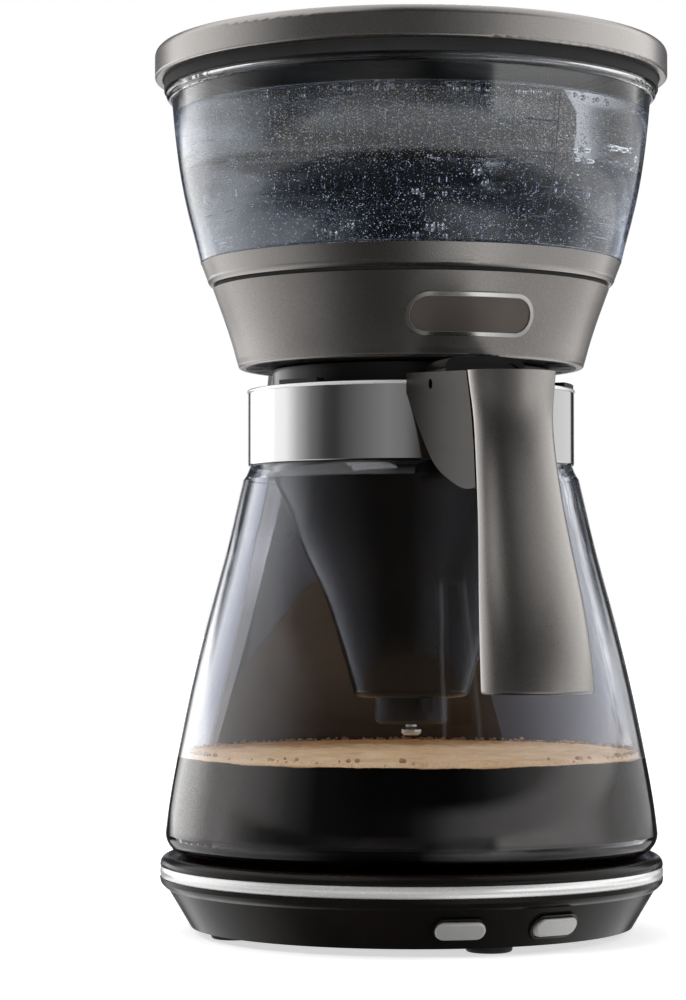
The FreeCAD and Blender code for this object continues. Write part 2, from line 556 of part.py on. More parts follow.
rimr = rev([(99.5, 365.6), (106.9, 365.6), (106.9, RIM_Z0), (108.8, RIM_Z0), ("A", 109.7, 364.7, RIM_R, 365.7), (RIM_R, 373.6),
            ("A", 109.0, 376.4, 106.2, RIM_Z1), (101.0, RIM_Z1), (99.5, 376.6)])
ledge = ring(96.2, 99.7, 369.6, 371.6)
rimr = rimr.fuse(ledge).cut(box(-36, 36, 80, 99.3, 366, 390))
ears = []
for sx in (-1, 1):
    e = box(24, 30, 90.4, 104, 366.4, 376.4) if sx > 0 else box(-30, -24, 90.4, 104, 366.4, 376.4)
    ears.append(e.common(cyl(104, 360, 380)))
rimr = rimr.multiFuse(ears)
rimr = rimr.cut(cyl_x(1.53, -40, 40, LID_PIN_Y, LID_PIN_Z))
rimr = rimr.cut(cyl(9.0, 373.6, 390, 0, -95.6))
put("rim_ring", rimr)
put("lid_hinge_pin", cyl_x(1.47, -30.6, 30.6, LID_PIN_Y, LID_PIN_Z))

lid = rev([(0, 376.6), (60, 375.9), (94.6, 374.4), (94.6, 371.9), (LID_R, 371.9), (LID_R, 375.6), ("A", 98.4, 376.5, 97.2, 376.9),
           ("S", [(60, 378.3), (0.0, 379.0)])])
lid = lid.cut(box(-120, 120, 87.4, 120, 360, 390))
lid = lid.cut(ring(97.9, 120, 360, 390).common(box(-120, 120, 74, 120, 360, 390)))
lid = lid.cut(box(-120, 120, 84, 120, 360, 374.2))
kn = []
for sx in (-1, 1):
    x0, x1 = (12.0, 23.6) if sx > 0 else (-23.6, -12.0)
    k = cyl_x(3.9, x0, x1, LID_PIN_Y, LID_PIN_Z).fuse(box(x0, x1, 82.0, LID_PIN_Y, 374.2, 376.2))
    kn.append(k)
lid = lid.multiFuse(kn).cut(cyl_x(1.55, -40, 40, LID_PIN_Y, LID_PIN_Z))
put("lid_panel", lid)
liner = rev([(0, 374.4), (60, 373.7), (94.3, 372.2), (94.3, 373.7), (60, 375.2), (0, 375.9)])
put("lid_liner", liner.cut(box(-120, 120, 81.5, 120, 360, 390)))

# ---------------------------------------------------------------------------
# Jug
# ---------------------------------------------------------------------------
G_OUT = [(102.6, 60.0), (99.5, 77.0), (95.2, 98.3), (90.2, 120.0), (84.7, 141.2), (78.9, 162.7), (73.9, 184.1), (71.9, 192.7)]
G_IN = [(r - 2.25, z) for r, z in G_OUT]
glass = rev([(0, GLASS_Z0), (95.9, GLASS_Z0), ("A", 102.26, 36.24, 104.9, 42.6), ("S", G_OUT), ("A", 70.05, 195.8, NECK_R, 199.2),
             (NECK_R, 227.6), ("A", NECK_R - 1.1, 228.7, NECK_R - GLASS_T, 227.6), (NECK_R - GLASS_T, 200.0), ("A", 67.75, 196.2, 69.65, 192.7),
             ("S", list(reversed(G_IN))[1:] + [(102.6, 43.4)]), ("A", 100.6, 38.6, 95.9, 36.2), (0, 36.0)])
put("carafe_glass", glass)
put("neck_band", rev([(NECK_R + 0.12, BAND_Z0), (BAND_R - 0.2, BAND_Z0), (BAND_R, BAND_Z0 + 0.3), (BAND_R, BAND_Z1), (NECK_R + 0.12, BAND_Z1)]))
put("band_rim", rev([(66.8, 229.6), (BAND_R, 229.6), ("A", 70.35, 230.3, BAND_R, 231.1), (66.8, 231.1)]))

H_OUT = [(59.0, 194.0), (56.0, 187.0), (47.5, 166.0), (37.5, 144.0), (30.6, 123.0), (24.9, 103.0)]
holder = rev([(8.0, HOLDER_FLOOR), (22.5, HOLDER_FLOOR), ("A", 24.2, 101.0, 24.9, 103.0),
              ("S", list(reversed(H_OUT))[1:] + [(HOLDER_R, 200.0)]), (HOLDER_R, HOLDER_TOP), (HOLDER_R - 2.0, HOLDER_TOP), (HOLDER_R - 2.0, 200.4),
              ("S", [(56.9, 194.4), (53.9, 187.6), (45.4, 166.4), (35.4, 144.4), (28.5, 123.2), (22.9, 103.4)]), (21.6, 102.2), (8.0, 102.2)])
put("filter_holder", holder)
rimh = ring(59.72, 61.6, 222.0, 228.4)
parts_r = []
for c in (60.0, 180.0, 300.0):
    parts_r.append(ring(59.72, 66.4, 224.4, 228.4, c - 24, c + 24))
    parts_r.append(ring(64.2, 66.4, 228.0, 233.0, c - 9, c + 9))
    parts_r.append(ring(64.2, 69.6, 231.3, 233.0, c - 9, c + 9))
put("filter_holder_rim", rimh.multiFuse(parts_r))

B_OUT = [(55.7, 194.6), (52.6, 187.8), (44.1, 166.6), (34.1, 144.6), (27.2, 123.4), (21.8, 105.6)]
basket = rev([(0, 103.6), (20.6, 103.6), (21.8, 105.6), ("S", list(reversed(B_OUT))[1:] + [(56.4, 200.6)]), (56.4, 236.0), (57.2, 236.0), (57.2, 237.4),
              (55.2, 237.4), (55.2, 200.8), ("S", [(54.5, 194.9), (51.4, 188.2), (42.9, 167.0), (32.9, 145.0), (26.0, 123.8), (20.7, 106.4)]),
              (19.6, 104.8), (0, 104.8)])
for k in range(12):
    basket = basket.cut(turn(box(-3.2, 3.2, -60, -10, 118, 184), k * 30.0))
put("filter_basket", basket)

# drip stop under the holder
drip = rev([(5.4, 88.6), (14.0, 88.6), (15.6, 90.2), (15.6, 99.9), (13.4, 99.9), (13.4, 90.6), (5.4, 90.6)])
put("drip_stop_body", drip.fuse(box(-2.2, 2.2, -23.0, -15.0, 94.0, 99.9)))
put("drip_seal", ring(5.4, 8.6, 90.65, 91.3))
plung = rev([(0, 83.6), (3.2, 83.6), (4.4, 84.8), (4.4, 86.0), (2.4, 87.2), (2.4, 91.4), (8.2, 91.4), (8.2, 93.0), (2.4, 93.0), (2.4, 99.2), (0, 99.2)])
put("drip_plunger", plung)
# spring: stacked coil solid, a helix-free sleeve of rings joined by a thin web
sp = []
for i in range(5):
    z = 93.7 + i * 1.35
    sp.append(Part.makeTorus(4.0, 0.42, V(0, 0, z), V(0, 0, 1)))
web = box(-0.3, 0.3, -4.35, -3.65, 93.7, 99.1)
put("drip_spring", sp[0].multiFuse(sp[1:] + [web]))

# handle: cheeks from the neck band to the front, and the grip hanging down
# Side curve of the grip, from the top to the lower end: level, radius at the
# side edges, where it is widest, and half width there
GRIP = [(230.4, 132.5, 17.85), (216.3, 133.7, 16.34), (201.5, 136.2, 16.05), (187.0, 140.0, 16.7), (172.3, 144.6, 17.72), (157.9, 149.3, 19.1),
        (143.6, 153.8, 20.5), (129.0, 157.8, 21.6), (115.2, 160.7, 22.2), (106.2, 162.1, 22.4)]
GRIP_D = 12.0                 # depth of the grip behind its edges
BULGE = 0.58                  # depth of the rounded front over the half width


def grip_at(z):
    for (z1, r1, w1), (z0, r0, w0) in zip(GRIP, GRIP[1:]):
        if z >= z0:
            t = (z - z0) / (z1 - z0)
            return r0 + (r1 - r0) * t, w0 + (w1 - w0) * t
    return GRIP[-1][1], GRIP[-1][2]


def fin_profile(top, low):
    """Side outline of the cheeks with a smooth lower curve."""
    x0, x1 = -30.0, 30.0
    p = [V(x0, -r, z) for r, z in low]
    c = Part.BSplineCurve()
    c.interpolate(p)
    q = [V(x0, -r, z) for r, z in top]
    e = [c.toShape(), Part.makeLine(p[-1], q[0])]
    for i in range(len(q) - 1):
        e.append(Part.makeLine(q[i], q[i + 1]))
    e.append(Part.makeLine(q[-1], p[0]))
    return Part.Face(Part.Wire(e)).extrude(V(x1 - x0, 0, 0))


def loft(wires, ruled):
    s = Part.makeLoft(wires, True, ruled)
    if s.Volume < 0:
        s.reverse()
    return s


LOW = [(143.5, 186.0), (128.0, 184.8), (111.6, 188.9), (95.7, 195.8), (85.0, 205.2), (73.0, 218.5), (62.0, 231.0)]


def cheek_wire(z):
    rf, w = grip_at(z)
    r1 = rf - 2.0
    hb = 22.5 + (22.5 - w) * 7.0 / (r1 - 67.0)
    pts = [V(-hb, -60.0, z), V(hb, -60.0, z), V(w, -r1, z), V(-w, -r1, z)]
    return Part.makePolygon(pts + [pts[0]])


cheeks = loft([cheek_wire(z) for z in (182.0, 192.0, 200.0, 210.0, 220.0, 236.0)], True)
cheeks = cheeks.common(fin_profile([(62.0, 234.0), (133.6, 230.3)], LOW))


def grip_wire(z, rf, w):
    d, wb, c2 = GRIP_D, w - 5.2, 4.0
    pf = [V(w, -rf, z), V(wb, -rf + d, z)]
    sd = (pf[1] - pf[0])
    sd.normalize()
    b0 = pf[1] - sd * c2
    b2 = V(wb - c2, -rf + d, z)
    bm = (b0 + b2) * 0.5 + V(0.5, 0.7, 0) * (c2 * 0.28)
    m = lambda q: V(-q.x, q.y, q.z)
    el = Part.Ellipse(V(0, -rf, z), w, BULGE * w)
    e = [Part.ArcOfEllipse(el, math.pi, 2.0 * math.pi).toShape(), Part.makeLine(pf[0], b0),
         Part.Arc(b0, bm, b2).toShape(), Part.makeLine(b2, m(b2)), Part.Arc(m(b2), m(bm), m(b0)).toShape(),
         Part.makeLine(m(b0), m(pf[0]))]
    return Part.Wire(e)


grip = loft([grip_wire(*g) for g in GRIP], False)
zlow = GRIP[-1][0]
grip = fillet_where(grip, 1.2, lambda e: e.BoundBox.ZMax < zlow + 0.3)
hand = cheeks.fuse(grip)
hand = hand.cut(cyl(BAND_R + 0.6, 180, 260))
CAV_LOW = [(126.0, 192.0), (112.0, 193.6), (97.2, 200.0), (87.4, 208.8), (78.0, 218.2), (70.0, 223.4), (64.0, 225.0)]


def wedge(dw, r0, r1, z0, z1):
    """Prism between the cheeks' inner faces, dw inside their outer faces."""
    h = lambda r: 22.5 + (16.6 - 22.5) * (r - 67.0) / (136.0 - 67.0) - dw
    return prism_z([(-h(r0), -r0), (h(r0), -r0), (h(r1), -r1), (-h(r1), -r1)], z0, z1)


CAV_DW = 2.4
cav = wedge(CAV_DW, 60.0, 127.0, 185.0, 260.0).common(fin_profile([(64.0, 250.0), (104.0, 250.0), (104.0, 228.3), (126.0, 228.0)], CAV_LOW))
hand = hand.cut(cav)
# seat of the grip insert in the grip's back face
INS_D = 2.0


def insert_solid(grow, z0, z1):
    def wire(z):
        rf, w = grip_at(z)
        h = w - 13.0 + grow
        y0, y1 = -rf + GRIP_D - INS_D - grow, -rf + GRIP_D + 0.6 + grow * 3
        pts = [V(-h, y0, z), V(h, y0, z), V(h, y1, z), V(-h, y1, z)]
        return Part.makePolygon(pts + [pts[0]])
    n = 5
    return loft([wire(z1 + (z0 - z1) * k / n) for k in range(n + 1)], False)


hand = hand.cut(insert_solid(0.12, 111.85, 176.15))
put("handle_insert", insert_solid(0.0, 112.0, 176.0))
hand = hand.cut(cyl_x(2.0, -30, 30, -LEVER_PIN_R, LEVER_PIN_Z))
HS = ((-7.0, 205.0), (7.0, 205.0))
for x, z in HS:
    hand = hand.cut(cyl_y(1.35, -137.0, -120.0, x, z))
hand = hand.removeSplitter()
put("handle_shell", hand)
put("lever_pin", cyl_x(1.95, -19.0, 19.0, -LEVER_PIN_R, LEVER_PIN_Z))

brk = ring(BAND_R + 0.1, 71.5, 225.4, 229.4, -14.0, 14.0)
strap = poly_prism_x([(66.0, 225.6), (73.0, 225.6), (85.0, 214.6), (124.4, 214.6), (124.4, 199.5), (125.9, 199.5),
                      (125.9, 216.2), (85.6, 216.2), (73.6, 227.2), (66.0, 227.2)], -11.0, 11.0)
brk = brk.fuse(strap.cut(cyl(BAND_R + 0.1, 200, 240)))
for x, z in HS:
    brk = brk.cut(cyl_y(1.8, -130, -120, x, z))
put("handle_bracket", brk)
hs = []
for x, z in HS:
    s = screw(3.0, 1.2, 1.3, 12.0)
    s.rotate(V(0, 0, 0), V(1, 0, 0), 90)
    s.translate(V(x, -122.75, z))
    hs.append(s)
put("handle_screws", Part.makeCompound(hs))


# thumb lever: arched pad over the handle's top, hub on the pin, toe towards the neck
def pad_wire(h, dz, r):
    """Arch with a nearly flat crown and rounded shoulders, closed along its foot."""
    def up(k, t):
        hh = h - t
        zt = 238.0 + dz - t
        return [V(-hh, -r, 231.5), V(-hh, -r, 233.5), V(-hh + 1.2, -r, zt - 1.4), V(-hh + 4.5, -r, zt), V(0, -r, zt + 0.6),
                V(hh - 4.5, -r, zt), V(hh - 1.2, -r, zt - 1.4), V(hh, -r, 233.5), V(hh, -r, 231.5)]

    def edges(q):
        return [Part.makeLine(q[0], q[1]), Part.Arc(q[1], q[2], q[3]).toShape(), Part.Arc(q[3], q[4], q[5]).toShape(),
                Part.Arc(q[5], q[6], q[7]).toShape(), Part.makeLine(q[7], q[8])]
    o, i = up(0, 0.0), up(1, 2.0)
    e = edges(o) + [Part.makeLine(o[8], i[8])]
    e += [x for x in reversed(edges(i))] + [Part.makeLine(i[0], o[0])]
    return Part.Wire(Part.__sortEdges__(e))


pad = loft([pad_wire(17.9, 0.0, 78.0), pad_wire(16.7, 0.0, 100.5)], True)
pad = fillet_where(pad, 0.5, lambda e: e.BoundBox.YMax < -100.4 and e.BoundBox.ZMax > 233.0 and
                   any(abs(abs(q.X) - 16.7) < 0.02 or q.Z > 237.5 for q in e.Vertexes) and e.BoundBox.ZMin > 231.45)
hub = cyl_x(3.6, -17.0, 17.0, -LEVER_PIN_R, LEVER_PIN_Z)
rib1 = box(-13.4, -11.0, -98.5, -84.0, 226.2, 236.6)
rib2 = box(11.0, 13.4, -98.5, -84.0, 226.2, 236.6)
rib3 = box(-1.4, 1.4, -98.5, -84.0, 226.2, 237.2)
toe = box(-5.0, 5.0, -LEVER_PIN_R, -79.5, 224.8, 227.4)
# closed front of the arch, set back a little from its edge
q = [(-15.2, 231.5), (15.2, 231.5), (15.2, 234.0), (13.4, 236.4), (10.8, 237.2), (-10.8, 237.2), (-13.4, 236.4), (-15.2, 234.0)]
web = Part.Face(Part.makePolygon([V(x, -99.2, z) for x, z in q + [q[0]]])).extrude(V(0, 1.6, 0))
lever = hub.multiFuse([pad, rib1, rib2, rib3, toe, web]).cut(cyl_x(2.03, -30, 30, -LEVER_PIN_R, LEVER_PIN_Z))
put("thumb_lever", lever)

# ---------------------------------------------------------------------------
# Export, moved so that the box stands on z = 0 and is centred on the origin
# ---------------------------------------------------------------------------
bb = None
for name, s in SOLIDS.items():
    s = s.copy()
    s.translate(V(0, AXIS_Y, 0))
    sol = s.Solids
    if len(sol) == 1:
        out = sol[0]
    else:
        out = Part.makeCompound(sol)
    bad = [q for q in sol if not q.isValid()]
    b = out.BoundBox
    bb = b if bb is None else bb.united(b)
    print("%-20s solids %2d vol %10.1f  x %7.1f %7.1f y %7.1f %7.1f z %7.2f %7.2f %s" % (
        name, len(sol), sum(q.Volume for q in sol), b.XMin, b.XMax, b.YMin, b.YMax, b.ZMin, b.ZMax, "INVALID" if bad else ""))
    out.exportStep("parts/" + name + ".step")
print("nodes", len(SOLIDS), "box", bb.XMin, bb.XMax, bb.YMin, bb.YMax, bb.ZMin, bb.ZMax)
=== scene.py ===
import bpy, bmesh, json, math, random
from mathutils import Vector, Matrix


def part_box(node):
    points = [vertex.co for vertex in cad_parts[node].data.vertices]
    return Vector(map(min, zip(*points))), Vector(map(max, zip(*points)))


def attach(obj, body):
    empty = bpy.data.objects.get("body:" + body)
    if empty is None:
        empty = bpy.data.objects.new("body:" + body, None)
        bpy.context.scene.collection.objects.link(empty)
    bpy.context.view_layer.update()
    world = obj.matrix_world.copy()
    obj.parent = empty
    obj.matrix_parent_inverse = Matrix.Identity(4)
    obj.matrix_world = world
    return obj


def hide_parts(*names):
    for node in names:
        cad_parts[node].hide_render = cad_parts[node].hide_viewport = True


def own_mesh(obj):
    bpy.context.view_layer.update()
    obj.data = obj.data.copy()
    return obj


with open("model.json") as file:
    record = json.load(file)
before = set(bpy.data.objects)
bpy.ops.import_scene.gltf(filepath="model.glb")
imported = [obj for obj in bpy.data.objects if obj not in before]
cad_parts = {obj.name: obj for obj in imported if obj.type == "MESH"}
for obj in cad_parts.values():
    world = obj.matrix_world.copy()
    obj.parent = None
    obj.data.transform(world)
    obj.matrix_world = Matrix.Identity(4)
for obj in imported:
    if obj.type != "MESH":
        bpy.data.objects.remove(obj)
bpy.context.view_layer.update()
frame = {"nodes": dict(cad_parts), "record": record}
NODES = frame["nodes"]
SC = bpy.context.scene

_lo, _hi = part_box("rim_ring")
AY = (_lo.y + _hi.y) / 2.0          # the common axis of tank, head and jug
MM = 0.001

# ---------------------------------------------------------------------------
# Camera: low, a little to the left of the handle, long lens
# ---------------------------------------------------------------------------
VIEW_AZ = 17.1
a = math.radians(VIEW_AZ)
cam_data = bpy.data.cameras.new("camera")
cam = bpy.data.objects.new("camera", cam_data)
SC.collection.objects.link(cam)
cam_data.sensor_width = 36.0
cam_data.lens = 109.08
cam_data.clip_start, cam_data.clip_end = 0.05, 60.0
cam.location = (-1.3 * math.sin(a), AY - 1.3 * math.cos(a), 0.1437)
yaw = math.radians(VIEW_AZ - 1.2857)
pitch = math.radians(1.79)
look = Vector((math.sin(yaw) * math.cos(pitch), math.cos(yaw) * math.cos(pitch), math.sin(pitch)))
cam.rotation_mode = "QUATERNION"
cam.rotation_quaternion = look.to_track_quat("-Z", "Y")
SC.camera = cam

SC.view_settings.view_transform = "Standard"
SC.view_settings.look = "None"
SC.view_settings.exposure = 0.0
SC.view_settings.gamma = 1.0
SC.cycles.max_bounces = 28
SC.cycles.transmission_bounces = 28
SC.cycles.glossy_bounces = 10
SC.cycles.diffuse_bounces = 4
SC.cycles.transparent_max_bounces = 24
SC.cycles.volume_bounces = 2
SC.cycles.sample_clamp_indirect = 6.0
SC.cycles.caustics_reflective = True
SC.cycles.caustics_refractive = True
SC.cycles.blur_glossy = 0.6
SC.cycles.use_denoising = True

# ---------------------------------------------------------------------------
# Material helpers
# ---------------------------------------------------------------------------


class M:
    """A node material with small helpers."""

    def __init__(self, name):
        self.m = bpy.data.materials.new(name)
        self.m.use_nodes = True
        self.t = self.m.node_tree
        self.t.nodes.clear()
        self.out = self.n("ShaderNodeOutputMaterial")
        self.co = None

    def n(self, kind, **kw):
        x = self.t.nodes.new(kind)
        for k, v in kw.items():
            setattr(x, k, v)
        return x

    def link(self, a, b):
        self.t.links.new(a, b)

    def obj(self):
        if self.co is None:
            self.co = self.n("ShaderNodeTexCoord").outputs["Object"]
        return self.co

    def scaled(self, sx, sy, sz):
        mp = self.n("ShaderNodeMapping")
        mp.inputs["Scale"].default_value = (sx, sy, sz)
        self.link(self.obj(), mp.inputs["Vector"])
        return mp.outputs["Vector"]

    def noise(self, scale, detail=2.0, rough=0.5, vec=None, dist=0.0):
        x = self.n("ShaderNodeTexNoise")
        x.inputs["Scale"].default_value = scale
        x.inputs["Detail"].default_value = detail
        x.inputs["Roughness"].default_value = rough
        x.inputs["Distortion"].default_value = dist
        self.link(vec if vec is not None else self.obj(), x.inputs["Vector"])
        return x.outputs["Fac"]

    def voronoi(self, scale, feature="F1", out="Distance", vec=None, rnd=1.0):
        x = self.n("ShaderNodeTexVoronoi", feature=feature)
        x.inputs["Scale"].default_value = scale
        x.inputs["Randomness"].default_value = rnd
        self.link(vec if vec is not None else self.obj(), x.inputs["Vector"])
        return x.outputs[out]

    def ramp(self, fac, stops, interp="LINEAR"):
        x = self.n("ShaderNodeValToRGB")
        x.color_ramp.interpolation = interp
        e = x.color_ramp.elements
        while len(e) > 1:
            e.remove(e[-1])
        e[0].position = stops[0][0]
        e[0].color = tuple(stops[0][1]) + (1.0,) if len(stops[0][1]) == 3 else stops[0][1]
        for p, c in stops[1:]:
            k = e.new(p)
            k.color = tuple(c) + (1.0,) if len(c) == 3 else c
        self.link(fac, x.inputs["Fac"])
        return x.outputs["Color"]

    def rng(self, fac, a0, a1, b0, b1, clamp=True):
        x = self.n("ShaderNodeMapRange")
        x.clamp = clamp
        for i, v in enumerate((a0, a1, b0, b1)):
            x.inputs[i + 1].default_value = v
        self.link(fac, x.inputs[0])
        return x.outputs[0]

    def math(self, op, a, b=None):
        x = self.n("ShaderNodeMath", operation=op)
        for i, v in enumerate((a, b)):
            if v is None:
                continue
            if isinstance(v, (int, float)):
                x.inputs[i].default_value = v
            else:
                self.link(v, x.inputs[i])
        return x.outputs[0]

    def mix(self, fac, a, b, mode="MIX"):
        x = self.n("ShaderNodeMix", data_type="RGBA", blend_type=mode)
        for s, v in ((x.inputs[0], fac), (x.inputs[6], a), (x.inputs[7], b)):
            if isinstance(v, (int, float)):
                s.default_value = v
            elif isinstance(v, (tuple, list)):
                s.default_value = tuple(v) + (1.0,) if len(v) == 3 else v
            else:
                self.link(v, s)
        return x.outputs[2]

    def bump(self, height, strength, dist, normal=None):
        x = self.n("ShaderNodeBump")
        x.inputs["Strength"].default_value = strength
        x.inputs["Distance"].default_value = dist
        self.link(height, x.inputs["Height"])
        if normal is not None:
            self.link(normal, x.inputs["Normal"])
        return x.outputs["Normal"]

    def principled(self, **kw):
        p = self.n("ShaderNodeBsdfPrincipled")
        for k, v in kw.items():
            s = p.inputs[k.replace("_", " ")]
            if isinstance(v, (int, float, tuple, list)):
                s.default_value = tuple(v) + (1.0,) if isinstance(v, (tuple, list)) and len(v) == 3 and s.type == "RGBA" else v
            else:
                self.link(v, s)
        self.link(p.outputs[0], self.out.inputs["Surface"])
        self.p = p
        return p


def speck(m, base, amount, scale):
    """A base colour with slow and fine variation."""
    slow = m.noise(scale * 0.02, 2.0)
    fine = m.noise(scale, 3.0)
    c = m.ramp(slow, [(0.3, [x * (1 - amount) for x in base]), (0.7, [min(1, x * (1 + amount)) for x in base])])
    d = m.ramp(fine, [(0.25, [1 - amount] * 3), (0.75, [1 + amount] * 3)])
    return m.mix(1.0, c, d, "MULTIPLY")


def cheek_mask(m):
    """1 on the two cheeks that join grip and band, 0 on the grip itself."""
    sep = m.n("ShaderNodeSeparateXYZ")
    m.link(m.obj(), sep.inputs[0])
    reach = m.math("SUBTRACT", AY, sep.outputs[1])
    edge = m.rng(sep.outputs[2], 0.187, 0.2304, 0.1393, 0.1315, clamp=False)
    behind = m.rng(m.math("SUBTRACT", edge, reach), 0.0004, 0.0012, 0.0, 1.0)
    return m.math("MULTIPLY", behind, m.rng(sep.outputs[2], 0.176, 0.180, 0.0, 1.0))


def metallic_paint(name, base, rough, flake=0.30, grain=1500.0, metal=0.85, bump=0.18, split=None, second=None):
    """Paint with metal flakes: each flake its own brightness and a little tilt, under a thin satin lacquer."""
    m = M(name)
    cell = m.voronoi(grain, "F1", "Color")
    fl = m.ramp(cell, [(0.0, [1 - flake] * 3), (0.55, [1.0] * 3), (0.9, [1 + flake] * 3), (1.0, [1 + 2.2 * flake] * 3)])
    slow = m.noise(9.0, 3.0)
    body = m.ramp(slow, [(0.3, [x * 0.94 for x in base]), (0.7, [min(1.0, x * 1.06) for x in base])])
    col = m.mix(1.0, body, fl, "MULTIPLY")
    r = m.rng(m.noise(grain * 0.7, 2.0), 0.3, 0.7, rough - 0.05, rough + 0.06)
    if split:
        k = split(m)
        low = m.mix(1.0, m.ramp(m.noise(14.0, 3.0), [(0.3, [x * 0.9 for x in second]), (0.7, [x * 1.1 for x in second])]), fl, "MULTIPLY")
        col = m.mix(k, col, low)
        r = m.math("ADD", r, m.math("MULTIPLY", k, 0.12))
    nrm = m.bump(m.noise(grain * 0.62, 3.0, 0.6), bump, 0.00012)
    nrm = m.bump(m.noise(110.0, 2.0), 0.04, 0.0004, nrm)
    m.principled(Base_Color=col, Metallic=metal, Roughness=r, Normal=nrm, Coat_Weight=0.12, Coat_Roughness=0.25)
    return m.m


def moulded(name, base, rough, spec=0.5, grain=900.0, bump=0.05, coat=0.0, coat_rough=0.05, amount=0.10):
    """Moulded plastic or rubber: faint mottling, fine skin texture."""
    m = M(name)
    col = speck(m, base, amount, grain)
    r = m.rng(m.noise(60.0, 4.0), 0.3, 0.7, max(0.02, rough - 0.05), rough + 0.05)
    nrm = m.bump(m.noise(grain, 3.0, 0.6), bump, 0.0001)
    m.principled(Base_Color=col, Roughness=r, Normal=nrm, Specular_IOR_Level=spec, Coat_Weight=coat, Coat_Roughness=coat_rough)
    return m.m


def metal(name, base, rough, lines=0.0, vec_scale=(1, 1, 40), amount=0.06, grain=300.0, aniso=0.0, wave=0.02):
    """Plain or plated metal: thin brushing lines along one direction, faint smears."""
    m = M(name)
    v = m.scaled(*vec_scale)
    line = m.noise(grain, 3.0, 0.6, vec=v)
    smear = m.noise(14.0, 4.0)
    col = m.ramp(smear, [(0.3, [x * (1 - amount) for x in base]), (0.7, [min(1.0, x * (1 + amount * 0.5)) for x in base])])
    r = m.rng(line, 0.25, 0.75, max(0.015, rough - 0.03 - lines * 0.05), rough + 0.03 + lines * 0.08)
    nrm = m.bump(line, 0.02 + lines * 0.12, 0.00006)
    nrm = m.bump(m.noise(28.0, 1.0), wave, 0.0006, nrm)
    m.principled(Base_Color=col, Metallic=1.0, Roughness=r, Normal=nrm, Anisotropic=aniso)
    return m.m


def clear(name, tint, ior, wave=0.015, rough_hi=0.012):
    """Clear glass or tank plastic: faint surface waves and wiping traces."""
    m = M(name)
    nrm = m.bump(m.noise(17.0, 2.0), wave, 0.0008)
    r = m.rng(m.noise(34.0, 5.0, 0.7), 0.45, 0.85, 0.0, rough_hi)
    m.principled(Base_Color=tint, Roughness=r, Normal=nrm, Transmission_Weight=1.0, IOR=ior)
    return m.m


# ---------------------------------------------------------------------------
# Materials
# ---------------------------------------------------------------------------
PEWTER = (0.375, 0.354, 0.340)


def column_finish():
    """Black plastic: polished behind the neck of the jug, duller lower down where steam and wiping have worn it."""
    m = M("column_gloss_plastic")
    sep = m.n("ShaderNodeSeparateXYZ")
    m.link(m.obj(), sep.inputs[0])
    up = m.rng(sep.outputs[2], 0.135, 0.185, 0.0, 1.0)
    grain = m.noise(900.0, 2.0)
    r = m.math("ADD", m.rng(up, 0.0, 1.0, 0.46, 0.20), m.rng(grain, 0.3, 0.7, -0.02, 0.02))
    c = m.ramp(m.noise(18.0, 3.0), [(0.3, (0.012, 0.012, 0.0125)), (0.7, (0.017, 0.017, 0.0172))])
    m.principled(Base_Color=c, Roughness=r, Specular_IOR_Level=m.rng(up, 0.0, 1.0, 0.45, 1.0), Coat_Weight=m.rng(up, 0.0, 1.0, 0.05, 0.6),
                 Coat_Roughness=0.06, Normal=m.bump(grain, 0.02, 0.0002))
    return m.m


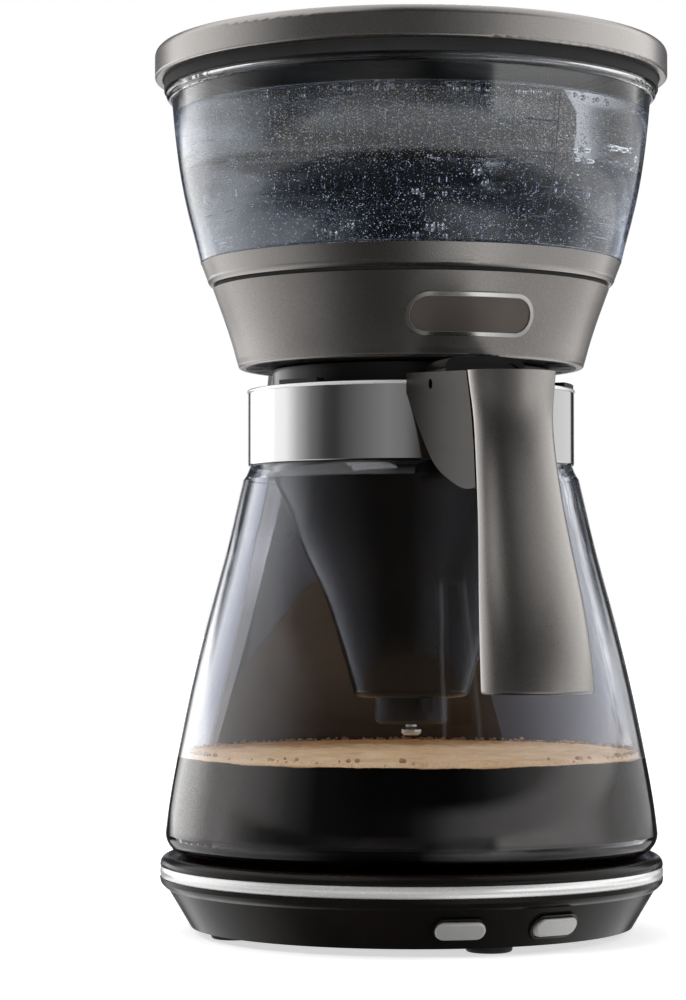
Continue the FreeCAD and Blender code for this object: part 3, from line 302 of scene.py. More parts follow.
MAT = {
    "pewter_dark": metallic_paint("pewter_dark_paint", PEWTER, 0.33, flake=0.16, grain=3300.0, metal=1.0, bump=0.12),
    "pewter_handle": metallic_paint("pewter_handle_paint", (0.375, 0.354, 0.338), 0.32, flake=0.09, grain=3300.0, metal=1.0, bump=0.07,
                                    split=cheek_mask, second=(0.036, 0.031, 0.0275)),
    "pewter_light": metallic_paint("pewter_light_paint", (0.44, 0.418, 0.402), 0.30, flake=0.06, grain=3600.0, metal=1.0, bump=0.05),
    "black_gloss": moulded("black_gloss_plastic", (0.0045, 0.0042, 0.0040), 0.16, 0.5, 1400.0, 0.02, 0.35, 0.05, 0.2),
    "black_satin": moulded("black_satin_plastic", (0.0056, 0.0044, 0.0036), 0.24, 0.19, 1300.0, 0.05, 0.0, 0.05, 0.2),
    "holder_black": moulded("holder_black_plastic", (0.0045, 0.0044, 0.0042), 0.22, 0.26, 1400.0, 0.02, 0.12, 0.08, 0.2),
    "black_matte": moulded("black_matte_plastic", (0.009, 0.0085, 0.008), 0.52, 0.4, 1100.0, 0.18, 0.0, 0.1, 0.25),
    "rubber_black": moulded("rubber_black", (0.018, 0.018, 0.018), 0.68, 0.35, 1500.0, 0.25, 0.0, 0.1, 0.2),
    "chrome": metal("chrome_plate", (0.80, 0.80, 0.80), 0.085, 0.15, (1, 1, 30), 0.03, 260.0),
    "silver_trim": metallic_paint("silver_trim_plate", (0.86, 0.86, 0.855), 0.22, flake=0.02, grain=3000.0, metal=0.55, bump=0.02),
    "silver_satin": metal("silver_satin_paint", (0.60, 0.59, 0.58), 0.30, 0.2, (1, 1, 6), 0.05, 700.0),
    "button_paint": metallic_paint("button_silver_paint", (0.47, 0.465, 0.46), 0.34, flake=0.05, grain=3000.0, metal=0.55, bump=0.05),
    "steel": metal("steel_plain", (0.56, 0.56, 0.57), 0.26, 0.5, (1, 1, 22), 0.10, 500.0),
    "aluminium": metal("aluminium_cast", (0.66, 0.66, 0.68), 0.42, 0.8, (1, 1, 1), 0.12, 900.0),
    "brass": metal("brass_plain", (0.78, 0.60, 0.28), 0.28, 0.3, (1, 1, 10), 0.10, 500.0),
    "silicone": moulded("silicone_milky", (0.62, 0.62, 0.60), 0.45, 0.4, 500.0, 0.06, 0.0, 0.1, 0.06),
    "white_plastic": moulded("nylon_white", (0.74, 0.73, 0.70), 0.48, 0.4, 900.0, 0.10, 0.0, 0.1, 0.05),
    "board_green": moulded("circuit_board", (0.03, 0.16, 0.07), 0.38, 0.5, 300.0, 0.05, 0.3, 0.2, 0.3),
    "plate_coat": moulded("plate_nonstick", (0.020, 0.020, 0.021), 0.36, 0.5, 1700.0, 0.30, 0.0, 0.1, 0.3),
    "column_gloss": column_finish(),
    "badge": None,
    "glass": clear("jug_glass", (0.86, 0.875, 0.93), 1.47),
    "tank": clear("tank_plastic", (0.965, 0.97, 0.975), 1.49, 0.006, 0.010),
}
SLOT_MAT = {"black_gloss": "black_gloss", "black_matte": "black_matte", "pewter_dark": "pewter_dark", "pewter_light": "pewter_light",
            "silver_trim": "silver_trim", "silver_satin": "silver_satin", "chrome": "chrome", "clear_glass": "glass", "clear_tank": "tank",
            "steel": "steel", "aluminium": "aluminium", "silicone": "silicone", "black_rubber": "rubber_black", "brass": "brass",
            "board_green": "board_green", "white_plastic": "white_plastic", "plate_coat": "plate_coat"}
OWN = {"handle_shell": "pewter_handle", "base_shell": "black_satin", "base_top_cover": "black_satin", "column_front_cover": "column_gloss", "badge_plate": "badge", "button_bezels": "black_gloss",
       "power_button": "button_paint", "mode_button": "button_paint", "filter_holder": "holder_black",
       "column_rear_cover": "black_satin"}


def badge():
    """Name plate without a name: a bright plated rim round a dark brown inner plate."""
    m = M("badge_plate_finish")
    sep = m.n("ShaderNodeSeparateXYZ")
    m.link(m.obj(), sep.inputs[0])
    t0 = math.radians(1.5)
    y = m.math("SUBTRACT", sep.outputs[1], AY)
    t = m.math("ADD", m.math("MULTIPLY", sep.outputs[0], math.cos(t0)), m.math("MULTIPLY", y, math.sin(t0)))
    q = m.math("MAXIMUM", m.math("SUBTRACT", m.math("ABSOLUTE", t), 0.0190), 0.0)
    h = m.math("SUBTRACT", sep.outputs[2], 0.2572)
    d = m.math("SQRT", m.math("ADD", m.math("POWER", q, 2.0), m.math("POWER", h, 2.0)))
    rim = m.rng(d, 0.00685, 0.00715, 0.0, 1.0)
    inner = m.ramp(m.noise(40.0, 3.0), [(0.3, (0.105, 0.088, 0.080)), (0.7, (0.130, 0.110, 0.100))])
    edge = m.ramp(m.noise(90.0, 3.0), [(0.3, (0.74, 0.73, 0.71)), (0.7, (0.86, 0.85, 0.83))])
    nrm = m.bump(m.noise(2600.0, 2.0), 0.08, 0.0001)
    m.principled(Base_Color=m.mix(rim, inner, edge), Metallic=m.rng(rim, 0.0, 1.0, 0.55, 1.0), Roughness=m.rng(rim, 0.0, 1.0, 0.42, 0.20), Normal=nrm)
    return m.m


MAT["badge"] = badge()
slots = {s["node"]: s["material_slot"] for s in frame["record"]["subparts"]}
for name, o in NODES.items():
    m = MAT[OWN.get(name) or SLOT_MAT[slots[name]]]
    for s in o.material_slots:
        s.material = m
    if not o.material_slots:
        o.data.materials.append(m)

# ---------------------------------------------------------------------------
# Mesh helpers
# ---------------------------------------------------------------------------


def add(name, me, mat, body):
    o = bpy.data.objects.new(name, me)
    SC.collection.objects.link(o)
    if mat is not None:
        me.materials.append(mat)
    if body:
        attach(o, body)
    return o


def catmull(pts, n):
    """Smooth line through (r, z) points."""
    out = []
    for i in range(len(pts) - 1):
        p0 = pts[max(i - 1, 0)]
        p1, p2 = pts[i], pts[i + 1]
        p3 = pts[min(i + 2, len(pts) - 1)]
        for k in range(n):
            t = k / n
            out.append(tuple(0.5 * ((2 * b) + (-a0 + c) * t + (2 * a0 - 5 * b + 4 * c - d) * t * t + (-a0 + 3 * b - 3 * c + d) * t ** 3)
                             for a0, b, c, d in zip(p0, p1, p2, p3)))
    out.append(tuple(pts[-1]))
    return out


def lathe(name, prof, segs=256, sharp=40.0, closed=True):
    """Solid of revolution about the common axis. prof is (r, z) in mm; points on the axis have r = 0."""
    bm = bmesh.new()
    rings = []
    for r, z in prof:
        if r < 1e-6:
            rings.append([bm.verts.new((0, AY, z * MM))])
        else:
            rings.append([bm.verts.new((r * MM * math.sin(2 * math.pi * k / segs), AY - r * MM * math.cos(2 * math.pi * k / segs), z * MM))
                          for k in range(segs)])
    pairs = list(zip(rings, rings[1:]))
    if closed and len(rings[0]) > 1 and len(rings[-1]) > 1:
        pairs.append((rings[-1], rings[0]))
    for a0, b0 in pairs:
        for k in range(segs):
            q = [a0[k % len(a0)], a0[(k + 1) % len(a0)], b0[(k + 1) % len(b0)], b0[k % len(b0)]]
            q = [v for i, v in enumerate(q) if v not in q[:i]]
            if len(q) >= 3:
                bm.faces.new(q)
    bmesh.ops.recalc_face_normals(bm, faces=bm.faces)
    lim = math.radians(sharp)
    for e in bm.edges:
        if len(e.link_faces) == 2 and e.calc_face_angle(0.0) > lim:
            e.smooth = False
    for f in bm.faces:
        f.smooth = True
    me = bpy.data.meshes.new(name)
    bm.to_mesh(me)
    bm.free()
    return me


def at(r, ang, z):
    """Point at radius r mm, ang degrees from the front towards +X, level z mm."""
    t = math.radians(ang)
    return Vector((r * MM * math.sin(t), AY - r * MM * math.cos(t), z * MM))


# ---------------------------------------------------------------------------
# Coffee, its foam and the jug's wet edge
# ---------------------------------------------------------------------------
JUG_IN = [(102.6, 43.4), (100.35, 60.0), (97.25, 77.0), (92.95, 98.3)]


def r_on(line, z):
    for (r0, z0), (r1, z1) in zip(line, line[1:]):
        if z0 <= z <= z1 or z1 <= z <= z0:
            return r0 + (r1 - r0) * (z - z0) / (z1 - z0)
    return line[-1][0]


jug_line = catmull(JUG_IN, 10)
COFFEE_Z, FOAM_Z = 75.0, 77.5
wall = [(r + 0.12, z) for r, z in jug_line if z < COFFEE_Z - 0.6]
coffee_prof = [(0, 35.92), (60, 35.98), (95.9, 36.06), (98.2, 36.6), (100.3, 37.9), (101.9, 40.2)] + wall
coffee_prof += [(r_on(jug_line, COFFEE_Z) + 0.12, COFFEE_Z), (r_on(jug_line, COFFEE_Z) - 2.0, COFFEE_Z - 0.15), (0, COFFEE_Z - 0.15)]
mc = M("coffee_liquid")
nz = mc.noise(22.0, 3.0)
mc.principled(Base_Color=mc.ramp(nz, [(0.3, (0.90, 0.78, 0.66)), (0.7, (1.0, 0.88, 0.76))]), Roughness=0.0, Transmission_Weight=1.0, IOR=1.34)
va = mc.n("ShaderNodeVolumeAbsorption")
va.inputs["Color"].default_value = (0.62, 0.16, 0.03, 1.0)
va.inputs["Density"].default_value = 190.0
mc.link(va.outputs[0], mc.out.inputs["Volume"])
coffee = add("coffee", lathe("coffee", coffee_prof, 256), mc.m, "carafe")

# foam: a cap with a lumpy top and rim, its bubbles as real dents and domes
rnd = random.Random(11)
FSEG, FR = 420, 34
bm = bmesh.new()
cells = [(rnd.uniform(0, 2 * math.pi), math.sqrt(rnd.random()) * 96.0, rnd.uniform(1.2, 4.2)) for _ in range(900)]
grid = {}
for t, r, s in cells:
    x, y = r * math.sin(t), r * math.cos(t)
    grid.setdefault((int(x // 6), int(y // 6)), []).append((x, y, s))


def lump(x, y):
    """Height of the foam's top at a point, in mm."""
    h = 0.35 * math.sin(x * 0.11 + 1.3) * math.cos(y * 0.13) + 0.2 * math.sin(x * 0.31 + y * 0.17)
    gx, gy = int(x // 6), int(y // 6)
    best = 0.0
    for i in (-1, 0, 1):
        for j in (-1, 0, 1):
            for cx, cy, s in grid.get((gx + i, gy + j), ()):
                d2 = (x - cx) ** 2 + (y - cy) ** 2
                if d2 < s * s:
                    best = max(best, 0.45 * math.sqrt(s * s - d2) * 0.6)
    return h + best


rings = [[bm.verts.new((0, AY, FOAM_Z * MM))]]
for i in range(1, FR + 1):
    r = 96.0 * (1 - (1 - i / FR) ** 1.9)
    row = []
    for k in range(FSEG):
        t = 2 * math.pi * k / FSEG
        x, y = r * math.sin(t), -r * math.cos(t)
        z = FOAM_Z - 1.4 + lump(x, y) * (1 if r < 92 else max(0.0, (96.2 - r) / 4.2)) + 0.9 * max(0.0, (r - 90) / 6.0) ** 2
        row.append(bm.verts.new((x * MM, AY + y * MM, z * MM)))
    rings.append(row)
for i, (r, z) in enumerate([(96.55, 76.9), (96.85, 76.5), (97.15, 76.0), (97.35, 75.5), (97.55, 75.0), (97.25, 74.75)]):
    row = []
    for k in range(FSEG):
        t = 2 * math.pi * k / FSEG
        dz = 0.25 * math.sin(7 * t + i) + 0.18 * math.sin(23 * t + 2 * i) + rnd.uniform(-0.12, 0.12)
        row.append(bm.verts.new((r * MM * math.sin(t), AY - r * MM * math.cos(t), (z + (dz if i in (0, 5) else 0.4 * dz)) * MM)))
    rings.append(row)
rings.append([bm.verts.new((0, AY, 74.62 * MM))])
for a0, b0 in zip(rings, rings[1:]):
    for k in range(FSEG):
        q = [a0[k % len(a0)], a0[(k + 1) % len(a0)], b0[(k + 1) % len(b0)], b0[k % len(b0)]]
        q = [v for i, v in enumerate(q) if v not in q[:i]]
        bm.faces.new(q)
bmesh.ops.recalc_face_normals(bm, faces=bm.faces)
for f in bm.faces:
    f.smooth = True
fm = bpy.data.meshes.new("coffee_foam")
bm.to_mesh(fm)
bm.free()
mf = M("coffee_foam")
v1 = mf.voronoi(620.0, "DISTANCE_TO_EDGE")
v2 = mf.voronoi(1700.0, "DISTANCE_TO_EDGE")
v3 = mf.voronoi(300.0, "F1", "Distance")
big = mf.noise(55.0, 4.0, 0.65)
c = mf.ramp(big, [(0.25, (0.56, 0.33, 0.155)), (0.5, (0.74, 0.49, 0.26)), (0.8, (0.88, 0.68, 0.43))])
c = mf.mix(mf.rng(v1, 0.0, 0.10, 0.55, 0.0), c, (0.90, 0.74, 0.52))
c = mf.mix(mf.rng(v3, 0.0, 0.14, 0.3, 0.0), c, (0.34, 0.16, 0.06))
c = mf.mix(mf.rng(v2, 0.0, 0.06, 0.30, 0.0), c, (0.95, 0.82, 0.62))
# darker and browner towards the back: painted shade on the far side of the foam; a little browner inside the rim
geo = mf.n("ShaderNodeSeparateXYZ")
mf.link(mf.obj(), geo.inputs[0])
rr = mf.math("SQRT", mf.math("ADD", mf.math("POWER", geo.outputs[0], 2.0), mf.math("POWER", mf.math("SUBTRACT", geo.outputs[1], AY), 2.0)))
# painted shade: the foam's back half is multiplied darker by its position
c = mf.mix(mf.rng(geo.outputs[1], AY + 0.022, AY + 0.078, 0.0, 1.0), c, mf.mix(1.0, c, (0.42, 0.31, 0.22), "MULTIPLY"))
c = mf.mix(mf.rng(rr, 0.090, 0.0962, 0.16, 0.0), c, (0.40, 0.20, 0.08))
nrm = mf.bump(mf.math("ADD", v1, v2), 0.5, 0.0006)
# painted light: the foam glows with its own colour, added on top of what the lamps give it
mf.principled(Base_Color=c, Roughness=mf.rng(v1, 0.0, 0.2, 0.25, 0.5), Normal=nrm, Subsurface_Weight=0.35, Subsurface_Scale=0.002,
              Specular_IOR_Level=0.5, Emission_Color=c, Emission_Strength=0.46)
foam = add("coffee_foam", fm, mf.m, "carafe")


def droplets(name, items, mat, body, rings_n=4, segs=8, flat=1.0):
    """Small drops or bubbles as real domes: items are (centre, outward direction, radius mm)."""
    me = bpy.data.meshes.new(name)
    verts, faces = [], []
    for c0, d, rad in items:
        d = d.normalized()
        u = d.orthogonal().normalized()
        w = d.cross(u)
        b = len(verts)
        verts.append(c0 + d * rad * MM * flat)
        for i in range(1, rings_n):
            th = math.pi * i / rings_n
            for k in range(segs):
                ph = 2 * math.pi * k / segs
                verts.append(c0 + (d * (math.cos(th) * flat) + (u * math.cos(ph) + w * math.sin(ph)) * math.sin(th)) * rad * MM)
        verts.append(c0 - d * rad * MM * flat)
        last = len(verts) - 1
        for k in range(segs):
            faces.append((b, b + 1 + k, b + 1 + (k + 1) % segs))
            for i in range(rings_n - 2):
                q = b + 1 + i * segs
                faces.append((q + k, q + segs + k, q + segs + (k + 1) % segs, q + (k + 1) % segs))
            q = b + 1 + (rings_n - 2) * segs
            faces.append((q + k, last, q + (k + 1) % segs))
    me.from_pydata([tuple(v) for v in verts], [], faces)
    me.polygons.foreach_set("use_smooth", [True] * len(me.polygons))
    me.update()
    return add(name, me, mat, body)


mb = M("foam_bubble")
mb.principled(Base_Color=mb.ramp(mb.noise(400.0, 2.0), [(0.3, (0.85, 0.62, 0.38)), (0.7, (0.98, 0.84, 0.62))]), Roughness=0.05,
              Transmission_Weight=0.6, IOR=1.2)
items = []
for k in range(520):
    t = 163.0 + rnd.gauss(0, 1) * 62.0 if k % 9 else rnd.uniform(0, 360)
    z = rnd.choice((rnd.uniform(74.9, 76.0), rnd.uniform(76.2, 77.6), rnd.uniform(76.8, 78.0)))
    s = rnd.uniform(0.35, 1.15)
    r = r_on(jug_line, z) - s - 0.15
    items.append((at(r, t, z), at(1, t, 0) - at(0, t, 0), s))
droplets("foam_bubbles", items, mb.m, "carafe", 5, 10)

# ---------------------------------------------------------------------------
# Spring of the drip stop: a wound wire
# ---------------------------------------------------------------------------


def coil(name, r, wire, z0, z1, turns, mat, body, per=40, sides=10):
    """Round wire wound about the jug's axis; the first and last third of a turn lie flat."""
    n = int(turns * per)
    flat = 0.35 / turns
    verts, faces = [], []
    for i in range(n + 1):
        f = min(1.0, max(0.0, (i / n - flat) / (1 - 2 * flat)))
        t = 360.0 * turns * i / n
        z = z0 + wire + (z1 - z0 - 2 * wire) * f
        for k in range(sides):
            q = 2 * math.pi * k / sides
            verts.append(tuple(at(r + wire * math.cos(q), t, z + wire * math.sin(q))))
    for i in range(n):
        for k in range(sides):
            a0, a1 = i * sides + k, i * sides + (k + 1) % sides
            faces.append((a0, a1, a1 + sides, a0 + sides))
    faces.append(tuple(range(sides - 1, -1, -1)))
    faces.append(tuple(n * sides + k for k in range(sides)))
    me = bpy.data.meshes.new(name)
    me.from_pydata(verts, [], faces)
    bm = bmesh.new()
    bm.from_mesh(me)
    bmesh.ops.recalc_face_normals(bm, faces=bm.faces)
    for f in bm.faces:
        f.smooth = len(f.verts) == 4
    bm.to_mesh(me)
    bm.free()
    return add(name, me, mat, body)


stop_spring = coil("drip_stop_spring", 4.0, 0.42, 93.28, 99.52, 5, MAT["steel"], "carafe")
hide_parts("drip_spring")
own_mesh(stop_spring)

# ---------------------------------------------------------------------------
# Water in the tank and the bubbles on its wall
# ---------------------------------------------------------------------------
TANK_IN = [(87.4, 286.6), (89.0, 291.6), (92.4, 304.0), (94.5, 313.0), (98.0, 334.0), (100.3, 355.9)]
tank_line = catmull(TANK_IN, 8)
WATER_Z = 348.2
wall = [(r + 0.1, z) for r, z in tank_line if z < WATER_Z - 0.4]
rw = r_on(tank_line, WATER_Z)
water_prof = [(0, 278.52), (60, 278.52), (80.7, 278.5), (82.7, 280.1), (84.7, 284.95)] + wall + \
    [(rw + 0.1, WATER_Z + 0.9), (rw - 0.5, WATER_Z + 0.25), (rw - 1.8, WATER_Z), (60, WATER_Z), (0, WATER_Z)]
mw = M("water")
rip = mw.bump(mw.noise(30.0, 3.0), 0.03, 0.0006)
mw.principled(Base_Color=(0.97, 0.985, 1.0), Roughness=0.0, Transmission_Weight=1.0, IOR=1.333, Normal=rip)
va = mw.n("ShaderNodeVolumeAbsorption")
va.inputs["Color"].default_value = (0.50, 0.68, 1.0, 1.0)
va.inputs["Density"].default_value = 1.2
mw.link(va.outputs[0], mw.out.inputs["Volume"])
add("water", lathe("water", water_prof, 256), mw.m, "root")

# painted glints: the small bubbles in the water glow, dark and bright by a noise, instead of catching real light
mbub = M("water_bubble")
mbub.principled(Base_Color=mbub.ramp(mbub.noise(700.0, 1.0), [(0.3, (0.40, 0.46, 0.58)), (0.7, (0.86, 0.91, 1.0))]), Roughness=0.10,
                Transmission_Weight=0.5, IOR=1.12, Emission_Color=mbub.ramp(mbub.noise(420.0, 1.0), [(0.35, (0.025, 0.032, 0.055)), (0.65, (0.27, 0.305, 0.37))]),
                Emission_Strength=1.0)
mbig = M("water_bubble_clear")
mbig.principled(Base_Color=mbig.ramp(mbig.noise(200.0, 1.0), [(0.3, (0.90, 0.94, 1.0)), (0.7, (1.0, 1.0, 1.0))]), Roughness=0.0,
                Transmission_Weight=1.0, IOR=0.76)
# painted glints: the specks under the water's surface glow, dark and bright by a noise, instead of catching real light
msurf = M("surface_bubble")
msurf.principled(Base_Color=msurf.ramp(msurf.noise(500.0, 1.0), [(0.3, (0.34, 0.30, 0.24)), (0.7, (0.70, 0.65, 0.55))]), Roughness=0.12,
                 Transmission_Weight=0.4, IOR=1.12, Emission_Color=msurf.ramp(msurf.noise(300.0, 1.0), [(0.35, (0.02, 0.018, 0.014)), (0.65, (0.20, 0.18, 0.145))]),
                 Emission_Strength=1.0)


def tiny(name, items, mat, body):
    """Very small bubbles as eight-sided gems: items are (centre, radius mm)."""
    verts, faces = [], []
    for c0, rad in items:
        b, q = len(verts), rad * MM
        verts += [(c0.x + q, c0.y, c0.z), (c0.x, c0.y + q, c0.z), (c0.x - q, c0.y, c0.z), (c0.x, c0.y - q, c0.z), (c0.x, c0.y, c0.z + q),
                  (c0.x, c0.y, c0.z - q)]
        for k in range(4):
            faces += [(b + k, b + (k + 1) % 4, b + 4), (b + (k + 1) % 4, b + k, b + 5)]
    me = bpy.data.meshes.new(name)
    me.from_pydata(verts, [], faces)
    me.polygons.foreach_set("use_smooth", [True] * len(me.polygons))
    me.update()
    return add(name, me, mat, body)


def r_tank(z):
    """Inner radius of the tank at a level above its floor."""
    return r_on(tank_line, z) if z > 286.6 else 82.7 + (87.4 - 82.7) * max(0.0, (z - 280.1)) / 6.5 - 0.3


rnd = random.Random(5)
items = []
for k in range(17000):
    t = rnd.uniform(-180, 180)
    w = rnd.random()
    z = 281.5 + (WATER_Z - 282.2) * (w if rnd.random() < 0.6 else w ** 1.9)
    s = 0.085 + min(0.19, rnd.expovariate(15.0)) * (1.25 - 0.5 * (z - 281.5) / 66.0)
    items.append((at(r_tank(z) - 0.35 - s - abs(rnd.gauss(0, 1)) * 3.2, t, z), s))
tiny("water_specks", items, mbub.m, "root")
items = []
for k in range(5600):
    r = 99.0 * math.sqrt(rnd.random())
    s = 0.10 + min(0.22, rnd.expovariate(14.0))
    items.append((at(r, rnd.uniform(-180, 180), WATER_Z - 0.35 - s - rnd.expovariate(1.2)), s))
tiny("surface_specks", items, msurf.m, "root")
items = []
for k in range(620):
    t = rnd.uniform(-180, 180)
    z = 283.5 + (WATER_Z - 285.5) * rnd.random()
    s = min(0.75, 0.30 + rnd.expovariate(8.0))
    items.append((at(r_tank(z) - 0.4 - s - rnd.expovariate(0.5), t, z), at(1, t, 0) - at(0, t, 0), s))
for k in range(110):
    t = rnd.uniform(-180, 180)
    s = rnd.uniform(0.45, 1.2)
    items.append((at(r_tank(WATER_Z - 2.0) - s - 0.3 - rnd.expovariate(0.35), t, WATER_Z - s - rnd.uniform(0.3, 1.4)), at(1, t, 0) - at(0, t, 0), s))
for t, z, s in ((-0.5, 313.5, 1.9), (1.4, 309.0, 1.3), (-12.5, 319.0, 1.1), (-10.8, 318.0, 0.9), (-16.0, 305.5, 1.6), (-14.2, 304.0, 1.1), (-8.6, 304.6, 1.2),
                (-12.0, 291.5, 2.1), (-9.2, 291.8, 1.7), (-15.8, 288.6, 1.5), (-8.0, 288.0, 1.2), (-33.0, 292.5, 1.6), (-38.0, 289.5, 1.8),
                (-40.6, 291.0, 1.0), (21.0, 300.0, 1.0), (64.0, 296.0, 1.3), (130.0, 301.0, 1.6), (-100.0, 292.0, 1.4), (-160.0, 300.0, 1.5)):
    items.append((at(r_tank(z) - s - 0.5, t, z), at(1, t, 0) - at(0, t, 0), s))
droplets("water_bubbles", items, mbig.m, "root", 6, 12)

# ---------------------------------------------------------------------------
# Level marks printed on the tank: one upright line with short bars
# ---------------------------------------------------------------------------
TANK_OUT = catmull([(90.2, 285.45), (91.5, 291.0), (94.9, 304.0), (97.0, 313.0), (100.5, 334.0), (102.7, 355.6)], 8)


def decal(name, quads, mat):
    """Thin raised print on the tank's wall: quads are (ang0, ang1, z0, z1) in degrees and mm."""
    bm = bmesh.new()
    for a0, a1, z0, z1 in quads:
        na = max(1, int(abs(a1 - a0) / 0.6))
        nzz = max(1, int((z1 - z0) / 2.0))
        g = {}
        for lay, off in enumerate((0.02, 0.10)):
            for i in range(na + 1):
                for j in range(nzz + 1):
                    z = z0 + (z1 - z0) * j / nzz
                    g[lay, i, j] = bm.verts.new(at(r_on(TANK_OUT, z) + off, a0 + (a1 - a0) * i / na, z))
        for i in range(na):
            for j in range(nzz):
                bm.faces.new((g[1, i, j], g[1, i + 1, j], g[1, i + 1, j + 1], g[1, i, j + 1]))
                bm.faces.new((g[0, i, j], g[0, i, j + 1], g[0, i + 1, j + 1], g[0, i + 1, j]))
        for i in range(na):
            bm.faces.new((g[0, i, 0], g[0, i + 1, 0], g[1, i + 1, 0], g[1, i, 0]))
            bm.faces.new((g[0, i, nzz], g[1, i, nzz], g[1, i + 1, nzz], g[0, i + 1, nzz]))
        for j in range(nzz):
            bm.faces.new((g[0, 0, j], g[1, 0, j], g[1, 0, j + 1], g[0, 0, j + 1]))
            bm.faces.new((g[0, na, j], g[0, na, j + 1], g[1, na, j + 1], g[1, na, j]))
    bmesh.ops.recalc_face_normals(bm, faces=bm.faces)
    me = bpy.data.meshes.new(name)
    bm.to_mesh(me)
    bm.free()
    return add(name, me, mat, "root")


ink = moulded("print_ink", (0.05, 0.055, 0.07), 0.4, 0.4, 1200.0, 0.05)
MARK = 19.2
decal("level_marks", [(MARK - 0.13, MARK + 0.13, 291.0, 346.0), (MARK - 8.3, MARK, 334.4, 334.95), (MARK - 8.3, MARK + 0.6, 321.6, 322.15),
                      (MARK - 3.2, MARK + 10.6, 308.2, 308.75), (MARK - 4.6, MARK, 296.4, 296.95)], ink)

# ---------------------------------------------------------------------------
# Stage: pale floor, studio surround and lights
# ---------------------------------------------------------------------------
cx, cy = -math.sin(a), -math.cos(a)          # from the object towards the photographed side
ux, uy = math.cos(a), -math.sin(a)           # to the right in the picture

floor_me = bpy.data.meshes.new("floor")
S = 9.0
floor_me.from_pydata([(-S, -S, 0), (S, -S, 0), (S, S, 0), (-S, S, 0)], [], [(0, 1, 2, 3)])
floor = bpy.data.objects.new("floor", floor_me)
SC.collection.objects.link(floor)
mfl = M("floor_pale")
dif = mfl.n("ShaderNodeBsdfDiffuse")
mfl.link(mfl.ramp(mfl.noise(3.0, 3.0), [(0.3, (0.80, 0.80, 0.80)), (0.7, (0.83, 0.83, 0.83))]), dif.inputs["Color"])
em = mfl.n("ShaderNodeEmission")
fs = mfl.n("ShaderNodeSeparateXYZ")
mfl.link(mfl.obj(), fs.inputs[0])
away = mfl.math("SQRT", mfl.math("ADD", mfl.math("POWER", mfl.math("ABSOLUTE", fs.outputs[0]), 2.0), mfl.math("POWER", mfl.math("ABSOLUTE", fs.outputs[1]), 2.0)))
mfl.link(mfl.rng(away, 0.55, 1.3, 0.62, 1.05), em.inputs["Strength"])
ad = mfl.n("ShaderNodeAddShader")
mfl.link(dif.outputs[0], ad.inputs[0])
mfl.link(em.outputs[0], ad.inputs[1])
mfl.link(ad.outputs[0], mfl.out.inputs["Surface"])
floor_me.materials.append(mfl.m)
floor.visible_glossy = False
floor.visible_transmission = False

world = bpy.data.worlds.new("world")
SC.world = world
world.use_nodes = True
bg = world.node_tree.nodes["Background"]
bg.inputs["Color"].default_value = (1, 1, 1, 1)
bg.inputs["Strength"].default_value = 1.0
world.cycles.sampling_method = "NONE"

# the surround: what the shiny surfaces reflect. It is a far sphere with soft light panels and dark cards.
bm = bmesh.new()
bmesh.ops.create_icosphere(bm, subdivisions=4, radius=7.0)
bmesh.ops.reverse_faces(bm, faces=bm.faces)
dm = bpy.data.meshes.new("surround")
bm.to_mesh(dm)
bm.free()
dome = bpy.data.objects.new("surround", dm)
SC.collection.objects.link(dome)
dome.location = (0, AY, 0.15)
md = M("surround_light")
sep = md.n("ShaderNodeSeparateXYZ")
md.link(md.obj(), sep.inputs[0])
X, Y, Z = sep.outputs
du = md.math("ADD", md.math("MULTIPLY", X, ux), md.math("MULTIPLY", Y, uy))
dc = md.math("ADD", md.math("MULTIPLY", X, cx), md.math("MULTIPLY", Y, cy))
ang = md.math("ARCTAN2", du, dc)
fa = md.rng(ang, -math.pi, math.pi, 0.0, 1.0)
EDGE_L = [(-169, 1.0), (-166, 0.04), (-160, 0.04), (-154, 1.0)]
EDGE_R = [(151, 0.75), (154.5, 0.03), (167.5, 0.03), (169, 1.0)]
BLUE = (0.86, 0.93, 1.10)


def tint(v):
    return tuple(v * k for k in BLUE)


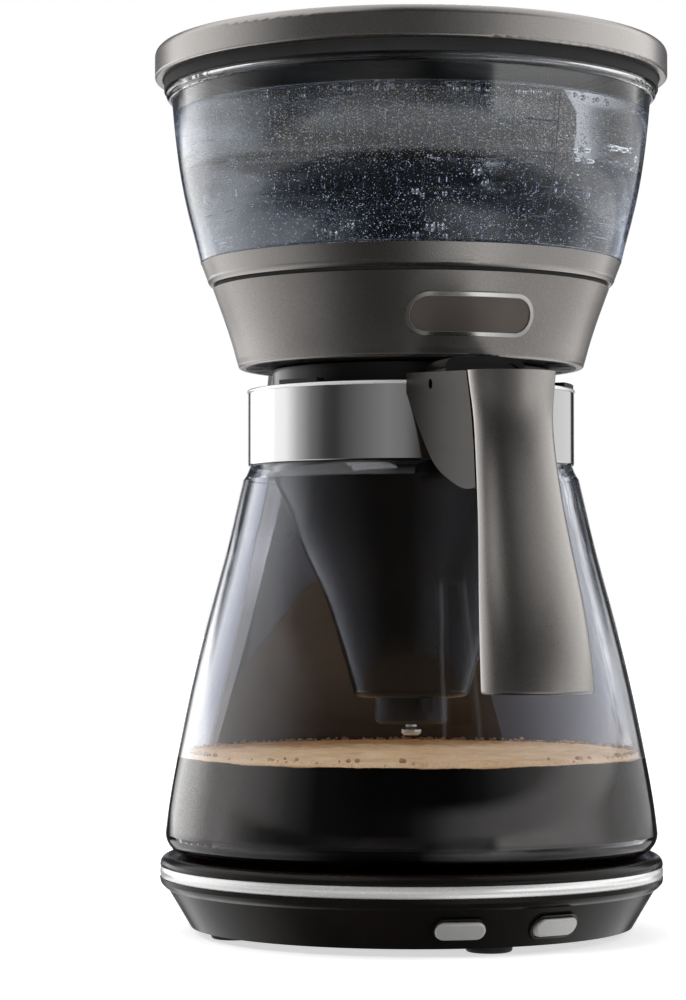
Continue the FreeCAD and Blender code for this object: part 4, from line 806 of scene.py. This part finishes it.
# what stands behind the jug: a soft grey-blue falling off towards the middle
BACK_L = [(-180, tint(0.02)), (-178, tint(0.035)), (-176.5, tint(0.075)), (-175, tint(0.16)), (-172.8, tint(0.40)), (-170.8, 1.0)]
BACK_R = [(170.6, 0.9), (172.8, tint(0.25)), (175.2, tint(0.115)), (177.3, tint(0.04)), (180, tint(0.02))]
ROWS = [
    # low: head and the ring over it
    (None, [(-180, 1.0), (-170, 1.0), (-156, 1.6), (-134, 1.15), (-114, 0.9), (-97, 0.7), (-80, 0.54), (-62, 0.30), (-47, 0.07), (-35, 0.035), (-14, 0.03),
            (4, 0.05), (13, 0.32), (24, 0.62), (46, 0.95), (60, 0.66), (74, 0.55), (97, 0.75), (117, 0.95), (140, 1.15), (156, 1.25), (170, 1.0), (180, 1.0)]),
    ((-22, -19), [(-180, 1.0)] + EDGE_L + [(-120, 1.0), (-95, 0.55), (-80, 0.18), (-66, 0.06), (-50, 0.03), (-20, 0.018), (30, 0.02), (60, 0.08), (90, 0.28), (120, 0.6)]
     + EDGE_R + [(180, 1.0)]),
    # the bright trim ring over the base
    ((-10.5, -8.5), BACK_L + [(-169, 1.0), (-166, 0.04), (-142, 0.04), (-137, 1.3), (-120, 1.25), (-90, 0.9), (-70, 0.62), (-49, 0.55), (-5, 0.50), (20, 0.56), (39, 0.70), (60, 1.0), (90, 1.2), (120, 1.2),
                                (137, 1.5), (142, 0.03), (167.5, 0.03), (169, 1.0)] + BACK_R),
    # level: the plated neck band, and the column behind the jug
    ((-3.2, -1.8), BACK_L[:-1] + EDGE_L[:3] + [(-147, 2.3), (-126, 2.2), (-110, 1.12), (-98, 1.05), (-85, 0.45), (-74, 0.17), (-62, 0.05), (-54, 0.035), (-35, 0.13), (-16, 0.225), (-4, 0.18), (8, 0.03),
                                            (37, 0.03), (41, 1.3), (90, 1.2), (106, 0.66)] + EDGE_R + BACK_R[1:]),
    # a little up: rim ring, tank, lower wall of the jug
    ((6.2, 8.0), [(-180, tint(0.05)), (-142, tint(0.05)), (-137, 0.5), (-134.5, 1.6), (-130, 1.45), (-118, 1.2), (-94, 1.0), (-74, 0.62), (-60, 0.24), (-46, 0.05), (-20, 0.03), (-2, 0.04), (8, 0.14),
                                           (20, 0.42), (34, 0.62), (53, 0.76), (73, 0.95), (92, 1.25), (115, 1.45), (134.5, 1.7), (137, 0.5), (142, tint(0.05)), (180, tint(0.05))]),
    # the jug's wall beside the coffee
    ((11.5, 13.5), [(-180, tint(0.05)), (-142, tint(0.05)), (-137, 0.5), (-134.5, 1.6), (-118, 1.2), (-94, 1.0), (-74, 0.62), (-60, 0.24), (-46, 0.05), (-20, 0.02), (20, 0.02),
                    (34, 0.06), (48, 0.20), (64, 0.42), (82, 0.85), (95, 1.1), (115, 1.45), (134.5, 1.7), (137, 0.5), (142, tint(0.05)), (180, tint(0.05))]),
    # the jug's sloping wall
    ((20, 23), [(-180, 1.0), (-171, 1.0), (-168, 0.03), (-143, 0.03), (-139, 1.5), (-120, 1.3), (-98, 1.0), (-84, 0.4), (-72, 0.1), (-60, 0.025), (-20, 0.018), (30, 0.02), (52, 0.08), (68, 0.6), (86, 1.2),
                                         (110, 1.3), (139, 1.7), (143, 0.03), (168, 0.03), (171, 1.0), (180, 1.0)]),
    # high: the grip
    ((31, 35), [(-180, 1.0), (-150, 1.1), (-110, 1.25), (-96, 1.15), (-78, 1.0), (-60, 0.95), (-42, 0.84), (-31, 0.64), (-20, 0.22), (-12, 0.03), (4, 0.02), (14, 0.12), (34, 0.33),
                (55, 0.60), (71, 0.82), (93, 1.0), (134, 1.1), (180, 1.0)]),
]


def row(stops):
    out = []
    for al, v in stops:
        out.append(((al + 180.0) / 360.0, v if isinstance(v, tuple) else (v, v, v)))
    return md.ramp(fa, out)


el = md.math("MULTIPLY", md.math("ARCSINE", md.math("DIVIDE", Z, 7.0)), 180.0 / math.pi)
tot = row(ROWS[0][1])
for (e0, e1), stops in ROWS[1:]:
    tot = md.mix(md.rng(el, e0, e1, 0.0, 1.0), tot, row(stops))
fe = md.rng(el, -90.0, 90.0, 0.0, 1.0)
ELEV = [(-90, 0.01), (-64, 0.015), (-56, 0.15), (-47, 1.0), (52, 1.0), (68, 0.45), (90, 0.30)]
tot = md.mix(1.0, tot, md.ramp(fe, [((e + 90.0) / 180.0, (v, v, v)) for e, v in ELEV]), "MULTIPLY")
TOP = [(-90, 0.0), (50, 0.0), (66, 0.30), (90, 0.50)]
tot = md.mix(1.0, tot, md.ramp(fe, [((e + 90.0) / 180.0, (v, v, v)) for e, v in TOP]), "ADD")
em = md.n("ShaderNodeEmission")
md.link(tot, em.inputs["Color"])
em.inputs["Strength"].default_value = 1.0
md.link(em.outputs[0], md.out.inputs["Surface"])
dm.materials.append(md.m)
dome.visible_camera = False
dome.visible_transmission = True
dome.visible_shadow = False
dome.visible_volume_scatter = False


def area(name, al, elev, dist, size, power, size_y=None, target=0.17, through=False):
    """Soft panel at al degrees round from the camera's side (right in the picture is positive)."""
    t, e = math.radians(al), math.radians(elev)
    d = Vector((cx * math.cos(t) + ux * math.sin(t), cy * math.cos(t) + uy * math.sin(t), 0)) * math.cos(e) + Vector((0, 0, math.sin(e)))
    ld = bpy.data.lights.new(name, "AREA")
    ld.shape = "RECTANGLE"
    ld.size, ld.size_y = size, size_y or size
    ld.energy = power
    o = bpy.data.objects.new(name, ld)
    SC.collection.objects.link(o)
    o.location = Vector((0, AY, target)) + d * dist
    o.rotation_mode = "QUATERNION"
    o.rotation_quaternion = (-d).to_track_quat("-Z", "Y")
    o.visible_camera = False
    o.visible_glossy = False
    o.visible_transmission = through
    return o


area("panel_left", -118, 16, 1.9, 0.8, 7.0, 1.4)
area("panel_right", 88, 18, 1.9, 0.7, 4.0, 1.3)
area("panel_top", -10, 66, 1.7, 0.4, 1.2, 0.4)
area("key_front", -34, 44, 1.7, 0.8, 7.0, 0.8, through=True)
